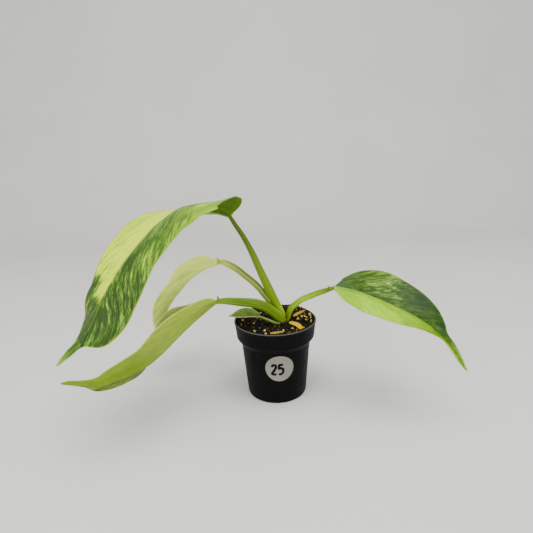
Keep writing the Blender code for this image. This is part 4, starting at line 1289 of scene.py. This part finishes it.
def pot():
    """The moulded shell, turned from its profile, with drain holes cut through its floor."""
    corners = [
        (0, FLOOR_TOP),
        (BODY_FOOT[0] - WALL - FLOOR_ROUND, FLOOR_TOP),
        (wall_radius(FLOOR_ROUND_TOP) - WALL, FLOOR_ROUND_TOP),
        (BODY_TOP[0] - WALL, INNER_BODY_TOP),
        (BAND_FOOT[0] - WALL, INNER_BAND_FOOT),
        (RIM_RADIUS - WALL, POT_HEIGHT),
        (RIM_RADIUS, POT_HEIGHT),
        (RIM_RADIUS, POT_HEIGHT - LIP_HEIGHT),
        (RIM_RADIUS - LIP_PROUD, POT_HEIGHT - LIP_HEIGHT - LIP_PROUD),
        BAND_FOOT,
        BODY_TOP,
        BODY_FOOT,
        *UNDERSIDE,
    ]
    build = bmesh.new()
    line = [build.verts.new((radius, 0, height)) for radius, height in rounded(corners, CORNER_ROUND)]
    edges = [build.edges.new(pair) for pair in zip(line, line[1:])]
    around = {"axis": (0, 0, 1), "cent": (0, 0, 0), "angle": 2 * math.pi}
    bmesh.ops.spin(build, geom=line + edges, steps=POT_STEPS, **around)
    bmesh.ops.remove_doubles(build, verts=build.verts, dist=0.01 * MM)
    bmesh.ops.recalc_face_normals(build, faces=build.faces)
    plastic = grained(
        "black_plastic", (3, 3, 5), (6, 6, 8), size=6, share=0.4, fine=(0.6, 0.03), gloss=(0.48, 0.56),
        # The top band of the rim is painted grey: a painted highlight
        by_height=(POT_HEIGHT - RIM_PAINTED_HIGHLIGHT[0], POT_HEIGHT - RIM_PAINTED_HIGHLIGHT[1], 0.8, (84, 84, 84)),
        IOR=1.45, Specular_IOR_Level=0.08,
    )
    thing = from_build("nursery_pot", build, plastic)
    for i in range(DRAIN_HOLES):
        angle = 2 * math.pi * (i + 0.5) / DRAIN_HOLES
        cutter = drain_cutter(DRAIN_CIRCLE_RADIUS * math.cos(angle), DRAIN_CIRCLE_RADIUS * math.sin(angle))
        cut = thing.modifiers.new("drain hole", "BOOLEAN")
        cut.object = cutter
        as_plain_mesh(thing)
        bpy.data.objects.remove(cutter)
    thing.data.shade_smooth()
    thing.data.set_sharp_from_angle(angle=POT_SHARP_FROM)
    place_piece(thing, "black_plastic", "pot")


def drain_cutter(x, y):
    build = bmesh.new()
    ends = {"radius1": DRAIN_HOLE_RADIUS, "radius2": DRAIN_HOLE_RADIUS, "cap_ends": True}
    place = Matrix.Translation((x, y, FLOOR_TOP))
    bmesh.ops.create_cone(build, segments=32, depth=12 * MM, matrix=place, **ends)
    return from_build("drain_cutter", build)


def mix_height(x, y):
    """Height of the potting mix: nearly level, heaped at the back right, lumpy, and dipped at the crown."""
    heap_x, heap_y, heap_height, heap_reach = MIX_HEAP
    heap = heap_height * math.exp(-((x - heap_x) ** 2 + (y - heap_y) ** 2) / heap_reach**2)
    to_crown = math.hypot(x - CROWN_CENTRE[0], y - CROWN_CENTRE[1])
    dip = CROWN_DIP * math.exp(-((to_crown / CROWN_DIP_REACH) ** 2))
    lumps = sum(size * noise.noise(Vector((x / span, y / span, MIX_LUMP_SLICE))) for span, size in MIX_LUMPS)
    return MIX_LEVEL + heap - dip + lumps


def potting_mix():
    """The body of the mix, filling the pot."""

    def circle(radius, height=None, drop=0.0):
        spots = [(radius * math.cos(angle), radius * math.sin(angle)) for angle in turns(MIX_SIDES)]
        return [(x, y, (mix_height(x, y) if height is None else height) - drop) for x, y in spots]

    off = MIX_OFF_WALL
    outer = RIM_RADIUS - WALL - off
    rings = [circle(outer * share) for share in np.linspace(*MIX_SURFACE, MIX_RINGS)]
    rings.append(circle(outer, drop=MIX_EDGE_DROP))
    for radius, height in (
        (BAND_FOOT[0], INNER_BAND_FOOT), (BODY_TOP[0], INNER_BODY_TOP), (BODY_FOOT[0], FLOOR_ROUND_TOP),
        (BODY_FOOT[0] - FLOOR_ROUND, FLOOR_TOP),
    ):
        rings.append(circle(radius - WALL - off, height + off))
    rings.append(circle(1 * MM, FLOOR_TOP + off))
    damp = grained(
        "potting_mix_dark", (16, 12, 8), (36, 27, 18), size=5, fine=(0.9, 0.5), pits=((9, 7, 5), 0.6),
        IOR=1.4, Specular_IOR_Level=0.15, Roughness=0.9,
    )
    return place_piece(tube("potting_mix_body", rings, damp), "potting_mix", "potting_mix")


def scatter_tree():
    """Geometry nodes that strew rough crumbs over the upward face of the mix, clear of the crown."""
    inputs = {
        "Surface": "Geometry", "Per Area": "Float", "Smallest": "Vector", "Largest": "Vector",
        "Roughness": "Float", "Lowest": "Float", "Clear Radius": "Float", "Seed": "Int", "Finish": "Material",
    }
    nodes, given, out = new_tree("strewn crumbs", "GeometryNodeTree", inputs, {"Crumbs": "Geometry"})
    place = nodes.add("GeometryNodeInputPosition")[0]
    above = nodes.maths("GREATER_THAN", nodes.parts(place)[2], given["Lowest"])
    flat = nodes.vectors("MULTIPLY", {0: place, 1: (1, 1, 0)})[0]
    away = nodes.vectors("DISTANCE", {0: flat, 1: (*CROWN_CENTRE, 0)})["Value"]
    clear = nodes.maths("GREATER_THAN", away, given["Clear Radius"])
    spread_over = {
        "Mesh": given["Surface"], "Selection": nodes.times(above, clear), "Density": given["Per Area"],
        "Seed": given["Seed"],
    }
    points = nodes.add("GeometryNodeDistributePointsOnFaces", spread_over)["Points"]
    sizes = {0: given["Smallest"], 1: given["Largest"], "Seed": given["Seed"]}
    size = nodes.add("FunctionNodeRandomValue", sizes, data_type="FLOAT_VECTOR")[0]
    turn = nodes.add("FunctionNodeRandomValue", {1: (math.pi, math.pi, math.pi)}, data_type="FLOAT_VECTOR")[0]
    crumb = nodes.add("GeometryNodeMeshIcoSphere", {"Radius": 1.0, "Subdivisions": 2})[0]
    crumbs = {"Points": points, "Instance": crumb, "Rotation": turn, "Scale": size}
    placed = nodes.add("GeometryNodeInstanceOnPoints", crumbs)[0]
    real = nodes.add("GeometryNodeRealizeInstances", {0: placed})[0]
    rough = nodes.add("ShaderNodeTexNoise", {"Scale": CRUMB_LUMPS_PER_METRE, "Detail": 1.0})["Color"]
    centred = nodes.vectors("SUBTRACT", {0: rough, 1: (0.5, 0.5, 0.5)})[0]
    shift = nodes.vectors("SCALE", {0: centred, "Scale": given["Roughness"]})[0]
    moved = nodes.add("GeometryNodeSetPosition", {"Geometry": real, "Offset": shift})[0]
    done = nodes.add("GeometryNodeSetMaterial", {"Geometry": moved, "Material": given["Finish"]})[0]
    nodes.feed(out, Crumbs=done)
    return nodes.tree


def strewn(name, kind, tree, surface):
    """One body of crumbs over the mix, made by the scatter tree and turned into a plain mesh."""
    finish = grained(
        kind.finish, kind.dark, kind.light, size=kind.grain * 4, fine=(kind.grain, 0.3),
        pits=(kind.dark, 0.4), Roughness=kind.roughness, Specular_IOR_Level=0.15,
    )
    thing = show(name, surface.data.copy())
    modifier = thing.modifiers.new("Strewn", "NODES")
    modifier.node_group = tree
    values = {
        "Per Area": kind.per_area, "Smallest": [size * MM for size in kind.smallest],
        "Largest": [size * MM for size in kind.largest], "Roughness": kind.lumps * MM, "Lowest": CRUMBS_ABOVE,
        "Clear Radius": CRUMBS_CLEAR, "Seed": kind.seed, "Finish": finish,
    }
    for item in tree.interface.items_tree:
        if item.in_out == "INPUT" and item.name in values:
            modifier[item.identifier] = values[item.name]
    as_plain_mesh(thing)
    thing.data.materials.clear()
    thing.data.materials.append(finish)
    place_piece(thing, "potting_mix")
    return finish


def seen_grains(finish):
    """The larger pale grains, each at its own place on the mix."""
    build = bmesh.new()
    generator = np.random.default_rng(GRAIN_SEED)
    # Without a fixed seed the vector noise differs from run to run
    noise.seed_set(GRAIN_SEED)
    for x, y, size in GRAINS_SEEN:
        spot = (x * MM, y * MM, mix_height(x * MM, y * MM) + 0.35 * size * MM)
        place = Matrix.Translation(spot)
        scale = Matrix.Diagonal((*(generator.uniform(*GRAIN_HALF_SIZES, 3) * size * MM), 1))
        made = bmesh.ops.create_icosphere(build, subdivisions=3, radius=1, matrix=place @ scale)
        for vertex in made["verts"]:
            vertex.co += noise.noise_vector(vertex.co * GRAIN_LUMPS_PER_METRE) * GRAIN_LUMPS * size * MM
    place_piece(from_build("pale_grains", build, finish), "potting_mix")


def crown():
    """The lumpy stem stub that the stalks leave."""
    knots = np.arange(len(CROWN_PROFILE))
    rings = []
    for height, radius in through(knots, CROWN_PROFILE, np.linspace(0, knots[-1], CROWN_RINGS)):
        ring = []
        for angle in turns(CROWN_SIDES):
            x, y = math.cos(angle), math.sin(angle)
            lump = noise.noise(Vector((x * 2, y * 2, height / 2))) * CROWN_LUMPS
            reach = (radius - 0.2 + lump) * MM
            ring.append((CROWN_CENTRE[0] + reach * x, CROWN_CENTRE[1] + reach * y, height * MM))
        rings.append(ring)
    # Olive, and brown where it goes into the mix
    olive = grained(
        "crown_olive", (30, 34, 2), (58, 62, 4), size=4, fine=(4, 0.3),
        by_height=(*CROWN_BURIED, 1, (16, 13, 5)), Roughness=0.7, Specular_IOR_Level=0.15,
    )
    place_piece(tube("crown", rings, olive), "stem", "crown_stem")


def strip(name, shape, material):
    knots = chord(shape.line)
    distance = np.linspace(0, knots[-1], STRIP_RINGS)
    place, _, side, upper = along(shape.line, distance)
    lumps = shape.lumps
    rings, places = [], []
    for i, gone in enumerate(distance):
        share = i / (STRIP_RINGS - 1)
        ragged = lumps * STRIP_RAGGED * noise.noise(Vector((gone * 1.1, 0, shape.seed)))
        swell = math.sin(math.pi * (0.05 + 0.9 * share)) ** 0.5
        taper = STRIP_END_WIDTH + (1 - STRIP_END_WIDTH) * swell + ragged
        ring, spots = [], []
        for angle in turns(STRIP_SIDES):
            x, y = math.cos(angle), math.sin(angle)
            arch = shape.hollow * (1 - x * x) if y < 0 else 0
            ridges = noise.noise(Vector((x * 5, y * 3, gone * 0.35)))
            chips = noise.noise(Vector((x * 2, y * 2, gone * 1.2 + shape.seed)))
            rough = 1 + lumps * (STRIP_RIDGES * ridges + STRIP_CHIPS * chips) - lumps * STRIP_SINK
            across = x * shape.width / 2 * taper * (1 + lumps * STRIP_RAGGED * chips)
            rise = (y + arch) * shape.thickness / 2 * rough * (1 - STRIP_RAGGED * lumps * x * x)
            ring.append((place[i] + side[i] * across + upper[i] * rise) * MM)
            spots.append((across * MM, gone * MM))
        rings.append(ring)
        places.append(np.array(spots))
    place_piece(tube(name, rings, material, "strip", places), shape.slot, shape.solid)


# Sticker


def on_wall(x, height, off):
    """A place on the pot's tapering wall, x round it from the front, at a distance off it."""
    radius = wall_radius(height) + off
    angle = x / wall_radius(STICKER_HEIGHT)
    return radius * math.sin(angle), -radius * math.cos(angle), height


def sticker():
    """The round paper sticker, bent to the wall, with a softly rounded edge."""
    middle = STICKER_TURN * (BODY_FOOT[0] + BODY_TOP[0]) / 2
    face = [(share, 1.0) for share in np.linspace(0.02, 0.97, 16)]
    rings = []
    for share, rise in face + [(0.99, 0.8), (1.0, 0.3), (1.0, 0.0), (0.5, 0.0), (0.02, 0.0)]:
        radius = STICKER_RADIUS * share
        off = STICKER_OFF_WALL + STICKER_THICKNESS * rise
        rings.append([
            on_wall(middle + radius * math.cos(angle), STICKER_HEIGHT + radius * math.sin(angle), off)
            for angle in turns(STICKER_SIDES)
        ])
    # Off-white paper, greyed well below white by painted shade
    paper = grained(
        "sticker_paper", (126, 122, 112), (112, 108, 98), size=12, share=0.5, fine=(0.8, 0.04),
        Roughness=0.7, Specular_IOR_Level=0.2,
    )
    place_piece(tube("round_sticker", rings, paper), "sticker_paper", "sticker")


def digits():
    """A plain number in marker strokes on the sticker."""
    ink = grained("marker_ink", (2, 2, 3), (6, 6, 7), size=1.5, Roughness=0.6, Specular_IOR_Level=0.08)
    reach = DIGIT_STROKE / 2
    pieces = []
    for i, points in enumerate(DIGITS):
        flat = np.array([(x, y, 0) for x, y in points])
        knots = chord(flat)
        distance = np.linspace(0, knots[-1], DIGIT_RINGS)
        middle = through(knots, flat, distance)
        forward = np.gradient(middle, axis=0)
        forward /= np.linalg.norm(forward, axis=1, keepdims=True)
        left = np.stack([-forward[:, 1], forward[:, 0]], axis=1)
        ends = np.minimum(distance, knots[-1] - distance)
        half = reach * np.sqrt(np.clip(1 - np.clip(1 - ends / reach, 0, 1) ** 2, 0.03, 1))
        rings = []
        for centre, across, wide in zip(middle[:, :2], left, half):
            ring = []
            for out, rise in STROKE_SECTION:
                x, z = (centre + across * out * wide) * MM
                off = STICKER_OFF_WALL + STICKER_THICKNESS + rise * MM
                ring.append(on_wall(DIGITS_CENTRE[0] + x, DIGITS_CENTRE[1] + z, off))
            rings.append(ring)
        pieces.append(tube(f"digit_{i + 1}", rings, ink))
    join(*pieces)
    pieces[0].name = "sticker_number"
    place_piece(pieces[0], "sticker_paper")


# Floor, light and camera


def stage():
    """A pale floor that sweeps up behind, as one sheet."""
    bend = [
        (STAGE_BACK + STAGE_BEND * math.sin(angle), STAGE_BEND - STAGE_BEND * math.cos(angle))
        for angle in np.linspace(0, math.pi / 2, STAGE_BEND_STEPS)
    ]
    line = [(STAGE_FRONT, 0.0), *bend, (STAGE_BACK + STAGE_BEND, STAGE_HEIGHT)]
    build = bmesh.new()
    edges = (-STAGE_HALF_WIDTH, STAGE_HALF_WIDTH)
    left, right = ([build.verts.new((x, y, z)) for y, z in line] for x in edges)
    for i in range(len(line) - 1):
        build.faces.new((left[i], right[i], right[i + 1], left[i + 1]))
    pale = grained("pale_floor", (212, 211, 208), (216, 215, 212), size=200, Roughness=0.75)
    from_build("pale_floor", build, pale)


def lights():
    for name, (place, aim, (width, depth), power, colour) in LIGHTS.items():
        data = bpy.data.lights.new(name, "AREA")
        data.shape = "RECTANGLE"
        data.size, data.size_y = width, depth
        data.energy = power
        data.color = colour
        thing = show(name, data)
        thing.location = place
        thing.rotation_euler = (Vector(aim) - Vector(place)).to_track_quat("-Z", "Y").to_euler()
    world = bpy.data.worlds.new("soft_room")
    world.use_nodes = True
    background = world.node_tree.nodes["Background"].inputs
    background["Color"].default_value = ROOM_COLOUR
    background["Strength"].default_value = ROOM_STRENGTH
    bpy.context.scene.world = world


def camera():
    forward = Vector((0, math.cos(CAMERA_DIP), -math.sin(CAMERA_DIP)))
    level_up = Vector((0, math.sin(CAMERA_DIP), math.cos(CAMERA_DIP)))
    level_right = Vector((1, 0, 0))
    right = level_right * math.cos(CAMERA_LEAN) + level_up * math.sin(CAMERA_LEAN)
    up = level_up * math.cos(CAMERA_LEAN) - level_right * math.sin(CAMERA_LEAN)
    data = bpy.data.cameras.new("camera")
    data.lens = CAMERA_LENS
    data.sensor_width = SENSOR
    data.clip_start = 0.01
    thing = show("camera", data)
    turn = Matrix((right, up, -forward)).transposed().to_4x4()
    thing.matrix_world = Matrix.Translation(CAMERA_PLACE) @ turn
    bpy.context.scene.camera = thing


def main():
    camera()
    lights()
    stage()
    for name, leaf in LEAVES.items():
        blade(name, leaf, FINISHES[name])
    for i, (name, shape) in enumerate(STALKS.items()):
        stalk(name, shape, stalk_material(name, 4.0 * i + 1))
    pot()
    body = potting_mix()
    tree = scatter_tree()
    finishes = {name: strewn(name, kind, tree, body) for name, kind in CRUMBS.items()}
    seen_grains(finishes["pale_crumbs"])
    crown()
    dry = {slot: strip_material(*looks) for slot, looks in STRIP_FINISHES.items()}
    for name, shape in STRIPS.items():
        strip(name, shape, dry[shape.slot])
    sticker()
    digits()


main()
